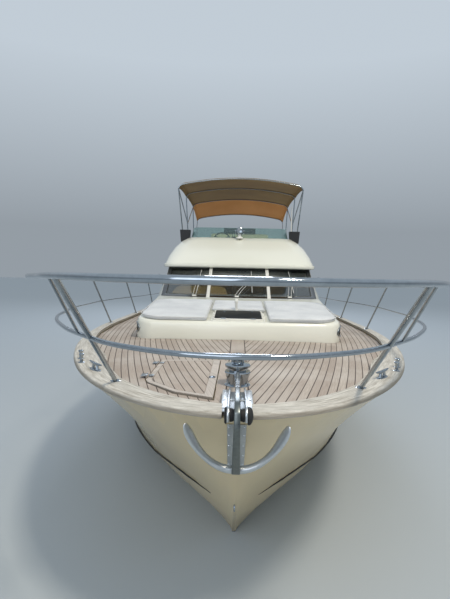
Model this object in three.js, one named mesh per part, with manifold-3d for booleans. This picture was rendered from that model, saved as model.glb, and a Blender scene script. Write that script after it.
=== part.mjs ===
// Flybridge motor yacht of about 14.6 m, afloat, in millimetres.
// The bow points to -Y, port is +X and up is +Z. The origin is on the waterline, amidships, on the centreline.
import * as THREE from "three";
import { mergeVertices } from "three/addons/utils/BufferGeometryUtils.js";
import Module from "manifold-3d";

const wasm = await Module();
wasm.setup();

// Driving dimensions of the hull
const STEM_Y = -7300;
const TRANSOM_Y = 6300;
const HULL_LENGTH = TRANSOM_Y - STEM_Y;
const HALF_BEAM = 2200;
const BOW_LENGTH = 5000;
const BOW_POWER = 0.515;
const TRANSOM_HALF = 2050;
const TAPER_START = 8500;
const SHEER_Z = 1900;
const SHEER_FALL = 0.012;
const STEM_RAKE = 1870;
const STEM_HALF = 20;
const KEEL_Z = -720;
const KEEL_TRANSOM_Z = -560;
const FOREFOOT = 3300;
const CHINE_Z = 400;
const CHINE_AFT_Z = 90;
const CHINE_HALF = 1900;
const CHINE_BOW = 4500;
const FLARE = 0.7;

// Deck and covering boards
const CAP_THICK = 38;
const CAP_OVERHANG = 14;
const DECK_DROP = 66;
const DECK_CAMBER = 62;
const BULWARK = 70;
const WATERWAY = 36;
const TEAK = 12;
const DECK_AFT_Y = 6120;
const GAP = 0.35;

// Wells cut into the hull
const SOLE_Z = 900;
const SALOON = { half: 1450, front: -1000, aft: 2700 };
const COCKPIT = { half: 1650, front: 2690, aft: 6000 };
const ENGINE_BAY = { half: 1200, front: 2900, aft: 5100, low: -50, high: 840 };
const ENGINE_LID = { half: 500, front: 3300, aft: 4500, thick: 38, ledge: 26 };
const GATE = { inner: 900, outer: 1500, thick: 60, low: 906, high: 1640, margin: 6 };

// Superstructure
const TRUNK = { front: STEM_Y + 3115, aft: -1850, half: 1405, halfAft: 1475, corner: 300, bow: 50, lean: 45 };
const TRUNK_TOP = { front: 2085, aft: 2270, aftY: STEM_Y + 5250 };
const SCREEN_SILL_Z = 2270;
const ROOF_Z = 2800;
const ROOF_THICK = 80;
const ROOF_HALF = 1595;
const ROOF_FRONT_Y = STEM_Y + 6600;
const ROOF_AFT_Y = 4300;
const WALL = 50;
const FAIRING_TOP_Z = 3490;
const BULKHEAD = { front: 2550, thick: 60 };

const PALETTE = {
  gelcoat: { color: 0xe9e3cf, roughness: 0.22, metalness: 0 },
  white: { color: 0xf1efe8, roughness: 0.3, metalness: 0 },
  teak: { color: 0xb9a899, roughness: 0.85, metalness: 0 },
  steel: { color: 0xd5d9dc, roughness: 0.12, metalness: 1 },
  glass: { color: 0x232a33, roughness: 0.05, metalness: 0 },
  cushion: { color: 0xd8d9da, roughness: 0.9, metalness: 0 },
  beige: { color: 0xcbbd9a, roughness: 0.8, metalness: 0 },
  canvas: { color: 0x8a7452, roughness: 0.95, metalness: 0 },
  black: { color: 0x17181a, roughness: 0.5, metalness: 0 },
  bronze: { color: 0xb08a4a, roughness: 0.35, metalness: 1 },
  engine: { color: 0x8b9094, roughness: 0.6, metalness: 0.3 },
};

const yacht = new THREE.Group();
const shapes = {};

// Turns a closed geometry into a solid, leaving out triangles that merging has flattened
function solidOf(geometry) {
  const loose = geometry.index ? geometry.toNonIndexed() : geometry;
  const bare = new THREE.BufferGeometry();
  bare.setAttribute("position", loose.getAttribute("position").clone());
  const merged = mergeVertices(bare, 1e-3);
  const index = merged.index.array;
  const kept = [];
  for (let i = 0; i < index.length; i += 3) {
    const [a, b, c] = [index[i], index[i + 1], index[i + 2]];
    if (a !== b && b !== c && a !== c) kept.push(a, b, c);
  }
  const vertProperties = merged.attributes.position.array;
  const mesh = new wasm.Mesh({ numProp: 3, vertProperties, triVerts: new Uint32Array(kept) });
  return new wasm.Manifold(mesh);
}

function geometryOf(solid) {
  const mesh = solid.getMesh();
  const geometry = new THREE.BufferGeometry();
  geometry.setAttribute("position", new THREE.BufferAttribute(mesh.vertProperties, 3));
  geometry.setIndex(new THREE.BufferAttribute(mesh.triVerts, 1));
  return geometry;
}

const join = (first, ...rest) => geometryOf(rest.reduce((sum, g) => sum.add(solidOf(g)), solidOf(first)));
const cut = (first, ...rest) => geometryOf(rest.reduce((sum, g) => sum.subtract(solidOf(g)), solidOf(first)));
const common = (first, second) => geometryOf(solidOf(first).intersect(solidOf(second)));
const moved = (geometry, x, y, z) => geometry.clone().translate(x, y, z);

// Keeps the largest body, where a cut has left loose slivers
function largest(geometry) {
  const bodies = solidOf(geometry).decompose();
  return geometryOf(bodies.sort((a, b) => b.volume() - a.volume())[0]);
}

// Cuts a piece back from its neighbours and leaves a small gap on every side
function clear(piece, ...neighbours) {
  const shifts = [
    [GAP, 0, 0],
    [-GAP, 0, 0],
    [0, GAP, 0],
    [0, -GAP, 0],
    [0, 0, GAP],
    [0, 0, -GAP],
  ];
  const cutters = neighbours.flatMap((n) => shifts.map((s) => moved(n, ...s)));
  return largest(cut(piece, ...cutters));
}

// Seats a piece on its carrier: only the faces below it are cut, with a small gap
const seat = (piece, ...carriers) => largest(cut(piece, ...carriers.map((c) => moved(c, 0, 0, GAP))));

// Mirrors a geometry to the other side of the centreline
function mirrored(geometry) {
  const other = (geometry.index ? geometry.toNonIndexed() : geometry.clone()).scale(-1, 1, 1);
  const position = other.getAttribute("position");
  for (let i = 0; i < position.count; i += 3) {
    const held = [position.getX(i + 1), position.getY(i + 1), position.getZ(i + 1)];
    position.setXYZ(i + 1, position.getX(i + 2), position.getY(i + 2), position.getZ(i + 2));
    position.setXYZ(i + 2, ...held);
  }
  return other;
}

// Makes a mesh of one named piece
function piece(name, geometry, finish) {
  const material = new THREE.MeshStandardMaterial(PALETTE[finish]);
  const bare = geometry.index ? geometry.toNonIndexed() : geometry;
  bare.computeVertexNormals();
  const mesh = new THREE.Mesh(bare, material);
  mesh.name = name;
  yacht.add(mesh);
  shapes[name] = geometry;
  return geometry;
}

// Makes the starboard and port copies of a piece drawn on the port side
function pair(name, geometry, finish) {
  piece(name + "_port", geometry, finish);
  piece(name + "_starboard", mirrored(geometry), finish);
}

function block(x0, x1, y0, y1, z0, z1) {
  const box = new THREE.BoxGeometry(x1 - x0, y1 - y0, z1 - z0);
  return box.translate((x0 + x1) / 2, (y0 + y1) / 2, (z0 + z1) / 2);
}

// Signed volume of loose triangles, which tells whether they face out
function signedVolume(corners) {
  let sum = 0;
  for (let i = 0; i < corners.length; i += 9) {
    const [ax, ay, az, bx, by, bz, cx, cy, cz] = corners.slice(i, i + 9);
    sum += ax * (by * cz - bz * cy) + ay * (bz * cx - bx * cz) + az * (bx * cy - by * cx);
  }
  return sum;
}

// Triangles over one closed ring, found in the plane that it mostly lies in
function capTriangles(ring) {
  const normal = new THREE.Vector3();
  ring.forEach((p, i) => {
    const q = ring[(i + 1) % ring.length];
    normal.x += (p[1] - q[1]) * (p[2] + q[2]);
    normal.y += (p[2] - q[2]) * (p[0] + q[0]);
    normal.z += (p[0] - q[0]) * (p[1] + q[1]);
  });
  const size = [Math.abs(normal.x), Math.abs(normal.y), Math.abs(normal.z)];
  const drop = size.indexOf(Math.max(...size));
  const [u, v] = [0, 1, 2].filter((axis) => axis !== drop);
  const flat = ring.map((p) => new THREE.Vector2(p[u], p[v]));
  return THREE.ShapeUtils.triangulateShape(flat, []);
}

// Joins rings of equal length into a closed skin. A ring is a list of [x, y, z]
function loft(rings, ladder = false) {
  const corners = [];
  const put = (...points) => points.forEach((p) => corners.push(...p));
  const count = rings[0].length;
  for (let r = 0; r + 1 < rings.length; r++) {
    for (let i = 0; i < count; i++) {
      const j = (i + 1) % count;
      put(rings[r][i], rings[r][j], rings[r + 1][j]);
      put(rings[r][i], rings[r + 1][j], rings[r + 1][i]);
    }
  }
  const ends = [rings[0], rings[rings.length - 1]];
  ends.forEach((ring, end) => {
    const faces = [];
    if (ladder) {
      for (let i = 0; i + 1 < count / 2; i++) {
        faces.push([i, i + 1, count - 2 - i], [i, count - 2 - i, count - 1 - i]);
      }
    } else {
      faces.push(...capTriangles(ring));
    }
    const loop = capSign(faces, count);
    faces.forEach(([a, b, c]) => {
      const swap = (end === 0) === loop;
      if (swap) put(ring[a], ring[c], ring[b]);
      else put(ring[a], ring[b], ring[c]);
    });
  });
  if (signedVolume(corners) < 0) {
    for (let i = 0; i < corners.length; i += 9) {
      const held = corners.splice(i + 3, 3);
      corners.splice(i + 6, 0, ...held);
    }
  }
  const geometry = new THREE.BufferGeometry();
  geometry.setAttribute("position", new THREE.Float32BufferAttribute(corners, 3));
  return geometry;
}

// True where the triangles run along the ring in its own order
function capSign(faces, count) {
  return faces.some(([a, b, c]) => [[a, b], [b, c], [c, a]].some(([p, q]) => q === (p + 1) % count));
}

// Upright prism over an outline of [x, y]
const prism = (outline, low, high) =>
  loft([outline.map(([x, y]) => [x, y, low]), outline.map(([x, y]) => [x, y, high])]);

// Prism over an outline of [x, z], from one y to another
const slab = (outline, near, far) =>
  loft([outline.map(([x, z]) => [x, near, z]), outline.map(([x, z]) => [x, far, z])]);

// Prism over an outline of [y, z], from one x to another
const fin = (outline, left, right) =>
  loft([outline.map(([y, z]) => [left, y, z]), outline.map(([y, z]) => [right, y, z])]);

// Adds the mirrored points of an open half outline, so that it closes
const bothSides = (half) => [...half, ...half.map(([x, ...rest]) => [-x, ...rest]).reverse()];

function circle(radius, sides) {
  const shape = new THREE.Shape();
  for (let i = 0; i < sides; i++) {
    const angle = (2 * Math.PI * i) / sides;
    const step = i === 0 ? "moveTo" : "lineTo";
    shape[step](radius * Math.cos(angle), radius * Math.sin(angle));
  }
  shape.closePath();
  return shape;
}

const vector = ([x, y, z]) => new THREE.Vector3(x, y, z);

// Bent tube through a list of points
function tube(points, radius, steps, sides = 8) {
  const extrudePath = new THREE.CatmullRomCurve3(points.map(vector), false, "centripetal");
  return new THREE.ExtrudeGeometry(circle(radius, sides), { steps, extrudePath });
}

// Straight tube between two points
function rod(from, to, radius, sides = 8) {
  const [a, b] = [vector(from), vector(to)];
  const along = b.clone().sub(a);
  const geometry = new THREE.CylinderGeometry(radius, radius, along.length(), sides);
  const turn = new THREE.Quaternion().setFromUnitVectors(new THREE.Vector3(0, 1, 0), along.clone().normalize());
  geometry.applyQuaternion(turn);
  const middle = a.add(b).multiplyScalar(0.5);
  return geometry.translate(middle.x, middle.y, middle.z);
}

// Arc of points about a centre in plan, angles in degrees
function arc(cx, cy, radius, from, to, steps) {
  const points = [];
  for (let i = 0; i <= steps; i++) {
    const angle = THREE.MathUtils.degToRad(from + ((to - from) * i) / steps);
    points.push([cx + radius * Math.cos(angle), cy + radius * Math.sin(angle)]);
  }
  return points;
}

// Hull form
const capTop = (y) => SHEER_Z - SHEER_FALL * (y - STEM_Y);
const hullTop = (y) => capTop(y) - CAP_THICK - GAP;

function sheerHalf(d) {
  if (d < BOW_LENGTH) return HALF_BEAM * Math.max(0, 1 - (1 - d / BOW_LENGTH) ** 2) ** BOW_POWER;
  const aft = Math.max(0, (d - TAPER_START) / (HULL_LENGTH - TAPER_START));
  return HALF_BEAM - (HALF_BEAM - TRANSOM_HALF) * aft * aft;
}

function chineHalf(d) {
  return CHINE_HALF * Math.sin((Math.PI / 2) * Math.min(1, d / CHINE_BOW)) ** 0.85;
}

function keelHeight(d) {
  const dive = 1 - (1 - Math.min(1, d / FOREFOOT)) ** 2.2;
  const rise = Math.max(0, d - FOREFOOT) / (HULL_LENGTH - STEM_RAKE - FOREFOOT);
  return KEEL_Z * dive + (KEEL_TRANSOM_Z - KEEL_Z) * rise * dive;
}

// Half section of the hull at a share of its length, from keel to sheer
function hullSection(share) {
  const stemShift = (z) => STEM_RAKE * (1 - z / hullTop(STEM_Y));
  const along = (z) => {
    const shift = stemShift(z);
    return { shift, y: STEM_Y + shift + share * (HULL_LENGTH - shift), d: share * (HULL_LENGTH - shift) };
  };
  const chineZ = CHINE_Z + (CHINE_AFT_Z - CHINE_Z) * Math.max(0, (share - 0.2) / 0.8);
  const keel = along(0);
  const chine = along(chineZ);
  const sheer = along(hullTop(STEM_Y));
  const chineX = Math.max(STEM_HALF, chineHalf(chine.d));
  const sheerX = Math.max(STEM_HALF, sheerHalf(sheer.d));
  const topZ = hullTop(sheer.y);
  const bow = Math.max(0, 1 - share / 0.4);
  const power = 1 + FLARE * bow;
  const topsides = [0.1, 0.22, 0.36, 0.52, 0.7, 0.86].map((f) => {
    const z = chineZ + (topZ - chineZ) * f;
    return [chineX + (sheerX - chineX) * f ** power, along(z).y, z];
  });
  const keelPoint = [STEM_HALF, keel.y, keelHeight(keel.d)];
  return [keelPoint, [chineX, chine.y, chineZ], ...topsides, [sheerX, sheer.y, topZ]];
}

const HULL_SHARES = [
  0, 0.003, 0.008, 0.016, 0.028, 0.045, 0.066, 0.09, 0.12, 0.155, 0.195, 0.24, 0.29, 0.34, 0.42, 0.5, 0.6, 0.7, 0.85, 1,
];

// Point on the deck edge, moved in from the sheer by an offset: t is 0 at the stem and 1 at the end of the bow
function deckEdge(t, inset) {
  const angle = (Math.PI / 2) * t;
  const x = HALF_BEAM * Math.sin(angle) ** (2 * BOW_POWER);
  const y = STEM_Y + BOW_LENGTH * (1 - Math.cos(angle));
  const nx = Math.sin(angle) / HALF_BEAM;
  const ny = -Math.cos(angle) / BOW_LENGTH;
  const length = Math.hypot(nx, ny);
  return [Math.max(8, x - (nx / length) * inset), y - (ny / length) * inset];
}

// Deck edge from the bow to an aft limit, as a list of [half width, y]
function deckEdgeLine(inset, aftY) {
  const bow = [0, 0.07, 0.15, 0.25, 0.36, 0.48, 0.62, 0.8, 1].map((t) => deckEdge(t, inset));
  const sides = [0.35, 0.65, 1].map((f) => {
    const y = STEM_Y + BOW_LENGTH + (aftY - STEM_Y - BOW_LENGTH) * f;
    return [sheerHalf(y - STEM_Y) - inset, y];
  });
  return [...bow, ...sides];
}

// Height of the cambered deck at a share of its half width
function deckZ(half, y, share) {
  const camber = DECK_CAMBER * (half / HALF_BEAM) * (1 - share * share);
  return capTop(y) - DECK_DROP + camber;
}

// Solid over the deck between two heights above it, or up to a fixed height
function deckSlab(inset, aftY, low, high, level = null) {
  const shares = [-1, -0.5, 0, 0.5, 1];
  const rings = deckEdgeLine(inset, aftY).map(([half, y]) => {
    const bottom = shares.map((s) => [half * s, y, deckZ(half, y, s) + low]);
    const top = shares.map((s) => [half * s, y, level ?? deckZ(half, y, s) + high]);
    return [...bottom, ...top.reverse()];
  });
  return loft(rings);
}

// Height of the deck at a place, without the teak
function deckHeight(x, y) {
  const half = sheerHalf(Math.max(1, y - STEM_Y)) - BULWARK;
  return deckZ(half, y, Math.min(1, Math.abs(x) / half));
}

// Anchor locker in the foredeck, seen from above, corner by corner
const LOCKER = [
  [-170, -5550],
  [-170, -6900],
  [-480, -6745],
  [-735, -6450],
  [-770, -6360],
  [-770, -5550],
];
const LOCKER_BAY = [
  [-195, -5575],
  [-195, -6560],
  [-480, -6300],
  [-690, -5575],
];
const LOCKER_FLOOR_Z = 1500;
const LOCKER_REBATE = 22;
const LID_GAP = 5;

// Unit vector to the left of the way from one point to the next
function leftOf([x0, y0], [x1, y1]) {
  const length = Math.hypot(x1 - x0, y1 - y0);
  return [(y0 - y1) / length, (x1 - x0) / length];
}

// Moves each side of a convex outline inwards by a distance
function shrunk(outline, distance) {
  const turn = Math.sign(THREE.ShapeUtils.area(outline.map(([x, y]) => new THREE.Vector2(x, y))));
  return outline.map((corner, i) => {
    const [ax, ay] = leftOf(outline.at(i - 1), corner);
    const [bx, by] = leftOf(corner, outline[(i + 1) % outline.length]);
    const reach = (turn * distance) / (1 + ax * bx + ay * by);
    return [corner[0] + (ax + bx) * reach, corner[1] + (ay + by) * reach];
  });
}

// Running gear under the hull, drawn on the port side
const SHAFT = { x: 620, angle: 10, radius: 22, bore: 23.3, propY: 5560, propZ: -735 };
const RUDDER = { x: 620, y: 6020, low: -930, high: -400 };
const RUDDER_GLAND_Z = RUDDER.high + 20;
const SHAFT_LOG_START = -2400;
const SHAFT_LOG_END = -1700;
const ABOVE = 3000;
const shaftTilt = THREE.MathUtils.degToRad(SHAFT.angle);
const shaftAxis = new THREE.Vector3(0, Math.cos(shaftTilt), -Math.sin(shaftTilt));

// Point on the port shaft at a distance aft of the propeller
function onShaft(distance) {
  return new THREE.Vector3(SHAFT.x, SHAFT.propY, SHAFT.propZ).addScaledVector(shaftAxis, distance).toArray();
}

function makeHull() {
  const sections = HULL_SHARES.map((share) => bothSides(hullSection(share)));
  const shell = loft(sections, true);
  const lid = ENGINE_LID;
  const neck = lid.ledge;
  const bay = ENGINE_BAY;
  const well = ({ half, front: y0, aft }) => block(-half, half, y0, aft, SOLE_Z, ABOVE);
  const rebate = deckSlab(BULWARK, DECK_AFT_Y, -LOCKER_REBATE, 200);
  const log = rod(onShaft(SHAFT_LOG_START), onShaft(SHAFT_LOG_END), 48, 12);
  const gland = rod([RUDDER.x, RUDDER.y, RUDDER_GLAND_Z], [RUDDER.x, RUDDER.y, -100], 55, 12);
  return cut(
    join(shell, log, gland, mirrored(log), mirrored(gland)),
    deckSlab(BULWARK, DECK_AFT_Y, 0, 0, ABOVE),
    well(SALOON),
    well(COCKPIT),
    block(-bay.half, bay.half, bay.front, bay.aft, bay.low, bay.high),
    block(-lid.half, lid.half, lid.front, lid.aft, SOLE_Z - lid.thick - GAP, SOLE_Z + 50),
    block(-lid.half + neck, lid.half - neck, lid.front + neck, lid.aft - neck, bay.low + 20, SOLE_Z),
    block(GATE.inner, GATE.outer, COCKPIT.aft - 50, TRANSOM_Y + 50, SOLE_Z, ABOVE),
    prism(LOCKER_BAY, LOCKER_FLOOR_Z, ABOVE),
    common(rebate, prism(LOCKER, 0, ABOVE)),
  );
}

const hull = piece("hull", makeHull(), "gelcoat");

// Teak covering boards on the bulwark: columns are distance aft of the stem and width
const CAP_WIDTHS = [
  [0, 190],
  [600, 195],
  [1200, 255],
  [1700, 300],
  [2200, 235],
  [2700, 165],
  [3800, 130],
  [6000, 115],
  [HULL_LENGTH, 115],
];

// Slot for the bow roller
const SLOT = { half: 95, length: 600 };

function capWidth(d) {
  const next = CAP_WIDTHS.findIndex(([at]) => at >= d);
  if (next <= 0) return CAP_WIDTHS[0][1];
  const [[d0, w0], [d1, w1]] = [CAP_WIDTHS[next - 1], CAP_WIDTHS[next]];
  return w0 + ((w1 - w0) * (d - d0)) / (d1 - d0);
}

function makeCap() {
  const bow = [0.02, 0.06, 0.12, 0.2, 0.3, 0.4, 0.5, 0.6, 0.75, 1];
  const ring = (outer, inner) => {
    const [low, high] = [-CAP_THICK, 0];
    return [
      [outer[0], outer[1], capTop(outer[1]) + low],
      [outer[0], outer[1], capTop(outer[1]) + high],
      [inner[0], inner[1], capTop(inner[1]) + high],
      [inner[0], inner[1], capTop(inner[1]) + low],
    ];
  };
  const rings = bow.map((t) => {
    const outer = deckEdge(t, -CAP_OVERHANG);
    return ring(outer, deckEdge(t, capWidth(outer[1] - STEM_Y)));
  });
  [0.35, 0.65, 1].forEach((f) => {
    const y = STEM_Y + BOW_LENGTH + (HULL_LENGTH - BOW_LENGTH) * f;
    const half = sheerHalf(y - STEM_Y);
    rings.push(ring([half + CAP_OVERHANG, y], [half - capWidth(y - STEM_Y), y]));
  });
  return cut(loft(rings), block(-SLOT.half, SLOT.half, STEM_Y - 100, STEM_Y + SLOT.length, 1700, 2100));
}

pair("covering_board", makeCap(), "teak");

// Trunk cabin on the foredeck, its top rising aft
const trunkTop = (y) => {
  const share = (y - TRUNK.front) / (TRUNK_TOP.aftY - TRUNK.front);
  return TRUNK_TOP.front + (TRUNK_TOP.aft - TRUNK_TOP.front) * share;
};
const TRUNK_SLOPE = Math.atan2(TRUNK_TOP.aft - TRUNK_TOP.front, TRUNK_TOP.aftY - TRUNK.front);

function trunkHalf(inset) {
  const { front, aft, half, halfAft, corner, bow } = TRUNK;
  const turn = arc(half - corner, front + bow + corner, corner - inset, -82, -6, 6);
  const middle = [
    [260, front + inset],
    [740, front + inset + bow / 2],
  ];
  return [...middle, ...turn, [halfAft - inset, aft]];
}

function makeTrunk() {
  const ring = (inset, height) => bothSides(trunkHalf(inset)).map(([x, y]) => [x, y, height(y)]);
  const body = loft([
    ring(0, () => 1650),
    ring(8, (y) => trunkTop(y) - 50),
    ring(22, (y) => trunkTop(y) - 14),
    ring(TRUNK.lean, trunkTop),
  ]);
  const underScreen = block(-1600, 1600, -2200, -1700, SCREEN_SILL_Z - GAP, 2500);
  return seat(cut(body, underScreen), hull);
}

// Deck hatch over the forward cabin: centre, half width and half length
const HATCH = { y: -3770, halfWidth: 345, halfLength: 320, frame: 42, raise: 26, depth: 260, glass: 16 };
const hatchZ = trunkTop(HATCH.y);

// Places a geometry drawn about the hatch's centre on the sloping trunk top
function onHatch(geometry) {
  return geometry.rotateX(TRUNK_SLOPE).translate(0, HATCH.y, hatchZ);
}

function hatchBlock(inset, low, high) {
  const { halfWidth: w, halfLength: l } = HATCH;
  return onHatch(block(-w + inset, w - inset, -l + inset, l - inset, low, high));
}

// Deckhouse plan: columns are x and y of the wall's outer face at the sill and at the roof
const WALL_PLAN = [
  { sill: [1425, -1800], roof: [1500, -420] },
  { sill: [1580, -1150], roof: [1530, 60] },
  { sill: [1640, 500], roof: [1540, 900] },
  { sill: [1620, BULKHEAD.front - GAP], roof: [1500, BULKHEAD.front - GAP] },
];

// Deckhouse side wall with its faces set by two insets from the outer face
function makeWall(outerInset, innerInset) {
  const ring = (key, z) => {
    const outer = WALL_PLAN.map((p) => [p[key][0] - outerInset, p[key][1], z]);
    const inner = WALL_PLAN.map((p) => [p[key][0] - innerInset, p[key][1], z]);
    return [...outer, ...inner.reverse()];
  };
  return loft([ring("sill", 1600), ring("sill", SCREEN_SILL_Z), ring("roof", ROOF_Z - GAP)]);
}

// Side window: columns are y and z
const SIDE_WINDOW = [
  [-900, 2070],
  [2250, 2070],
  [2250, 2620],
  [350, 2640],
  [-250, 2560],
];

const SIDE_WINDOW_SIDES = [1200, 2000];
const windowPrism = fin(SIDE_WINDOW, ...SIDE_WINDOW_SIDES);
const wallBody = seat(makeWall(0, WALL), hull);
pair("deckhouse_side", cut(wallBody, windowPrism), "gelcoat");
const WINDOW_FIT = 0.9985;
const windowMiddle = [700, 2350];
const insetWindow = fin(
  SIDE_WINDOW.map((p) => windowMiddle.map((middle, axis) => middle + (p[axis] - middle) * WINDOW_FIT)),
  ...SIDE_WINDOW_SIDES,
);
pair("side_window", common(makeWall(18, 30), insetWindow), "glass");

// Block under the windscreen, whose top is the dashboard
function makeFront() {
  const half = [
    [550, -2000],
    [1425 - WALL, -1800],
    [1580 - WALL - 1, -1150],
    [1440, SALOON.front],
  ];
  return seat(prism(bothSides(half), 1600, SCREEN_SILL_Z), hull);
}

const front = clear(makeFront(), shapes.deckhouse_side_port, shapes.deckhouse_side_starboard);
piece("deckhouse_front", front, "gelcoat");

const trunk = clear(cut(makeTrunk(), hatchBlock(60, -HATCH.depth, 100)), front);
const hatchFrame = hatchBlock(0, -20, HATCH.raise - HATCH.glass);
const framedTrunk = cut(join(trunk, hatchFrame), hatchBlock(60, -HATCH.depth, 100));
const walls = [shapes.deckhouse_side_port, shapes.deckhouse_side_starboard];
piece("trunk_cabin", clear(framedTrunk, ...walls), "gelcoat");
piece("deck_hatch", hatchBlock(6, HATCH.raise - HATCH.glass + GAP, HATCH.raise + 12), "glass");

// Sun pads on the trunk, drawn in plan
function makePad(points, thick, round) {
  const ring = (inset, rise) => shrunk(points, inset).map(([x, y]) => [x, y, trunkTop(y) + rise]);
  return loft([ring(round, GAP), ring(0, round + GAP), ring(0, thick - round), ring(round, thick)]);
}

const PAD = { inner: 415, outer: 1352, front: -4125, aft: -2620, thick: 62, round: 18 };
const PAD_TURN = { front: 340, aft: 300 };
const sidePad = [
  [PAD.inner, PAD.front],
  ...arc(PAD.outer - PAD_TURN.front, PAD.front + PAD_TURN.front, PAD_TURN.front, -90, 0, 6),
  ...arc(PAD.outer - PAD_TURN.aft, PAD.aft - PAD_TURN.aft, PAD_TURN.aft, 0, 90, 5),
  [PAD.inner, PAD.aft],
];
pair("sun_pad", makePad(sidePad, PAD.thick, PAD.round), "cushion");
const centrePad = [
  [-400, -3410],
  [400, -3410],
  [400, PAD.aft],
  [-400, PAD.aft],
];
piece("sun_pad_centre", makePad(centrePad, PAD.thick - 8, PAD.round), "cushion");

// Windscreen: columns are the sill end and the roof end of each post
const POSTS = [
  { sill: [1425, -1800], roof: [1500, -420], half: 85 },
  { sill: [550, -2000], roof: [580, -620], half: 30 },
  { sill: [-550, -2000], roof: [-580, -620], half: 30 },
  { sill: [-1425, -1800], roof: [-1500, -420], half: 85 },
];
const FRAME_THICK = 40;
const PANE_THICK = 8;

// Sloping plate between two posts, between shares of the height. With an inset it stops short of each post
function screenPlate(a, b, inset, lowShare, highShare, depth, thick) {
  const point = (post, other, share, drop) => {
    const reach = inset === null ? 0 : post.half + inset;
    const sillX = post.sill[0] + Math.sign(other.sill[0] - post.sill[0]) * reach;
    const roofX = post.roof[0] + Math.sign(other.roof[0] - post.roof[0]) * reach;
    const x = sillX + (roofX - sillX) * share;
    const y = post.sill[1] + (post.roof[1] - post.sill[1]) * share;
    const z = SCREEN_SILL_Z + GAP + (ROOF_Z - SCREEN_SILL_Z - 2 * GAP) * share;
    return [x, y + drop, z];
  };
  const ring = (drop) => [
    point(a, b, lowShare, drop),
    point(b, a, lowShare, drop),
    point(b, a, highShare, drop),
    point(a, b, highShare, drop),
  ];
  return loft([ring(depth), ring(depth + thick)]);
}

function makeScreenFrame() {
  const panels = [0, 1, 2].map((i) => {
    const plate = screenPlate(POSTS[i], POSTS[i + 1], null, 0, 1, 0, FRAME_THICK * 2);
    const opening = screenPlate(POSTS[i], POSTS[i + 1], 0, 0.07, 0.93, -50, 300);
    return cut(plate, opening);
  });
  const whole = join(...panels);
  return clear(whole, shapes.deckhouse_side_port, shapes.deckhouse_side_starboard);
}

piece("windscreen_frame", makeScreenFrame(), "white");
["starboard", "centre", "port"].reverse().forEach((side, i) => {
  const pane = screenPlate(POSTS[i], POSTS[i + 1], 2 * GAP, 0.0715, 0.9285, FRAME_THICK, PANE_THICK * 2);
  piece("windscreen_" + side, pane, "glass");
});

// Aft bulkhead with its doorway and window
const DOORWAY = { left: -50, right: 750, low: 935, high: 2680 };
const AFT_WINDOW = { left: -1230, right: -170, low: 1500, high: 2600 };
const TRACK = { left: -900, right: 800, low: 902, high: 922, reach: 44 };
const HEAD_TRACK = { low: 2740, high: 2760 };

function makeBulkhead() {
  const { front: y0, thick } = BULKHEAD;
  const half = [
    [SALOON.half - GAP, SOLE_Z + GAP],
    [SALOON.half - GAP, 1640],
    [1620, 1640],
    [1620, SCREEN_SILL_Z],
    [1500, ROOF_Z - GAP],
  ];
  const track = ({ low, high }) =>
    block(TRACK.left, TRACK.right, y0 + thick - 10, y0 + thick + TRACK.reach, low, high);
  const panel = join(slab(bothSides(half), y0, y0 + thick), track(TRACK), track(HEAD_TRACK));
  const door = DOORWAY;
  const pane = AFT_WINDOW;
  const open = cut(
    panel,
    block(door.left, door.right, y0 - 50, y0 + thick + 5, door.low, door.high),
    block(pane.left, pane.right, y0 - 50, y0 + thick + 5, pane.low, pane.high),
  );
  return seat(open, hull);
}

piece("aft_bulkhead", makeBulkhead(), "gelcoat");
piece(
  "aft_window",
  block(
    AFT_WINDOW.left + GAP,
    AFT_WINDOW.right - GAP,
    BULKHEAD.front + 20,
    BULKHEAD.front + 32,
    AFT_WINDOW.low + GAP,
    AFT_WINDOW.high - GAP,
  ),
  "glass",
);
const doorFace = BULKHEAD.front + BULKHEAD.thick + 6;
const DOOR = { left: -70, right: 775, thick: 32, slack: GAP * 1.5 };
const doorHeights = [TRACK.high + DOOR.slack, HEAD_TRACK.low - DOOR.slack];
piece("saloon_door", block(DOOR.left, DOOR.right, doorFace, doorFace + DOOR.thick, ...doorHeights), "glass");

// Saloon furniture
piece(
  "saloon_sofa",
  join(
    block(700, SALOON.half - 1, 0, 2300, SOLE_Z + GAP, 1330),
    block(1250, SALOON.half - 1, 0, 2300, 1300, 1760),
    block(700, SALOON.half - 1, 2100, 2300, 1300, 1760),
  ),
  "beige",
);
const HELM = { x: -720, half: 420 };
const helmOutline = [
  [SALOON.front + GAP, SOLE_Z + GAP],
  [-700, SOLE_Z + GAP],
  [-620, 1850],
  [-700, 2010],
  [SALOON.front + GAP, 1640],
];
const seatHalf = 280;
const seatBlock = (near, far, low, high) => block(HELM.x - seatHalf, HELM.x + seatHalf, near, far, low, high);
piece("saloon_seat", join(seatBlock(60, 520, SOLE_Z + GAP, 1580), seatBlock(430, 560, 1500, 2080)), "beige");

// Steering wheel in its own plane: rim, three spokes and a hub
const WHEEL = { rim: 190, tube: 14, hub: 40, shaft: 12 };

function makeWheel() {
  const rim = new THREE.TorusGeometry(WHEEL.rim, WHEEL.tube, 6, 20);
  const spokes = [90, 210, 330].map((angle) => {
    const turn = THREE.MathUtils.degToRad(angle);
    return rod([0, 0, 0], [WHEEL.rim * Math.cos(turn), WHEEL.rim * Math.sin(turn), 0], 9, 6);
  });
  const hub = rod([0, 0, -55], [0, 0, 14], WHEEL.hub, 12);
  return join(hub, rim, ...spokes);
}

// Wheel facing aft and up by a tilt, its hub at a place
function placedWheel(place, tilt) {
  return makeWheel().rotateX(-Math.PI / 2 + THREE.MathUtils.degToRad(tilt)).translate(...place);
}

const WHEEL_TILT = 35;
const SALOON_WHEEL = [HELM.x, -566, 1930];

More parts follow.
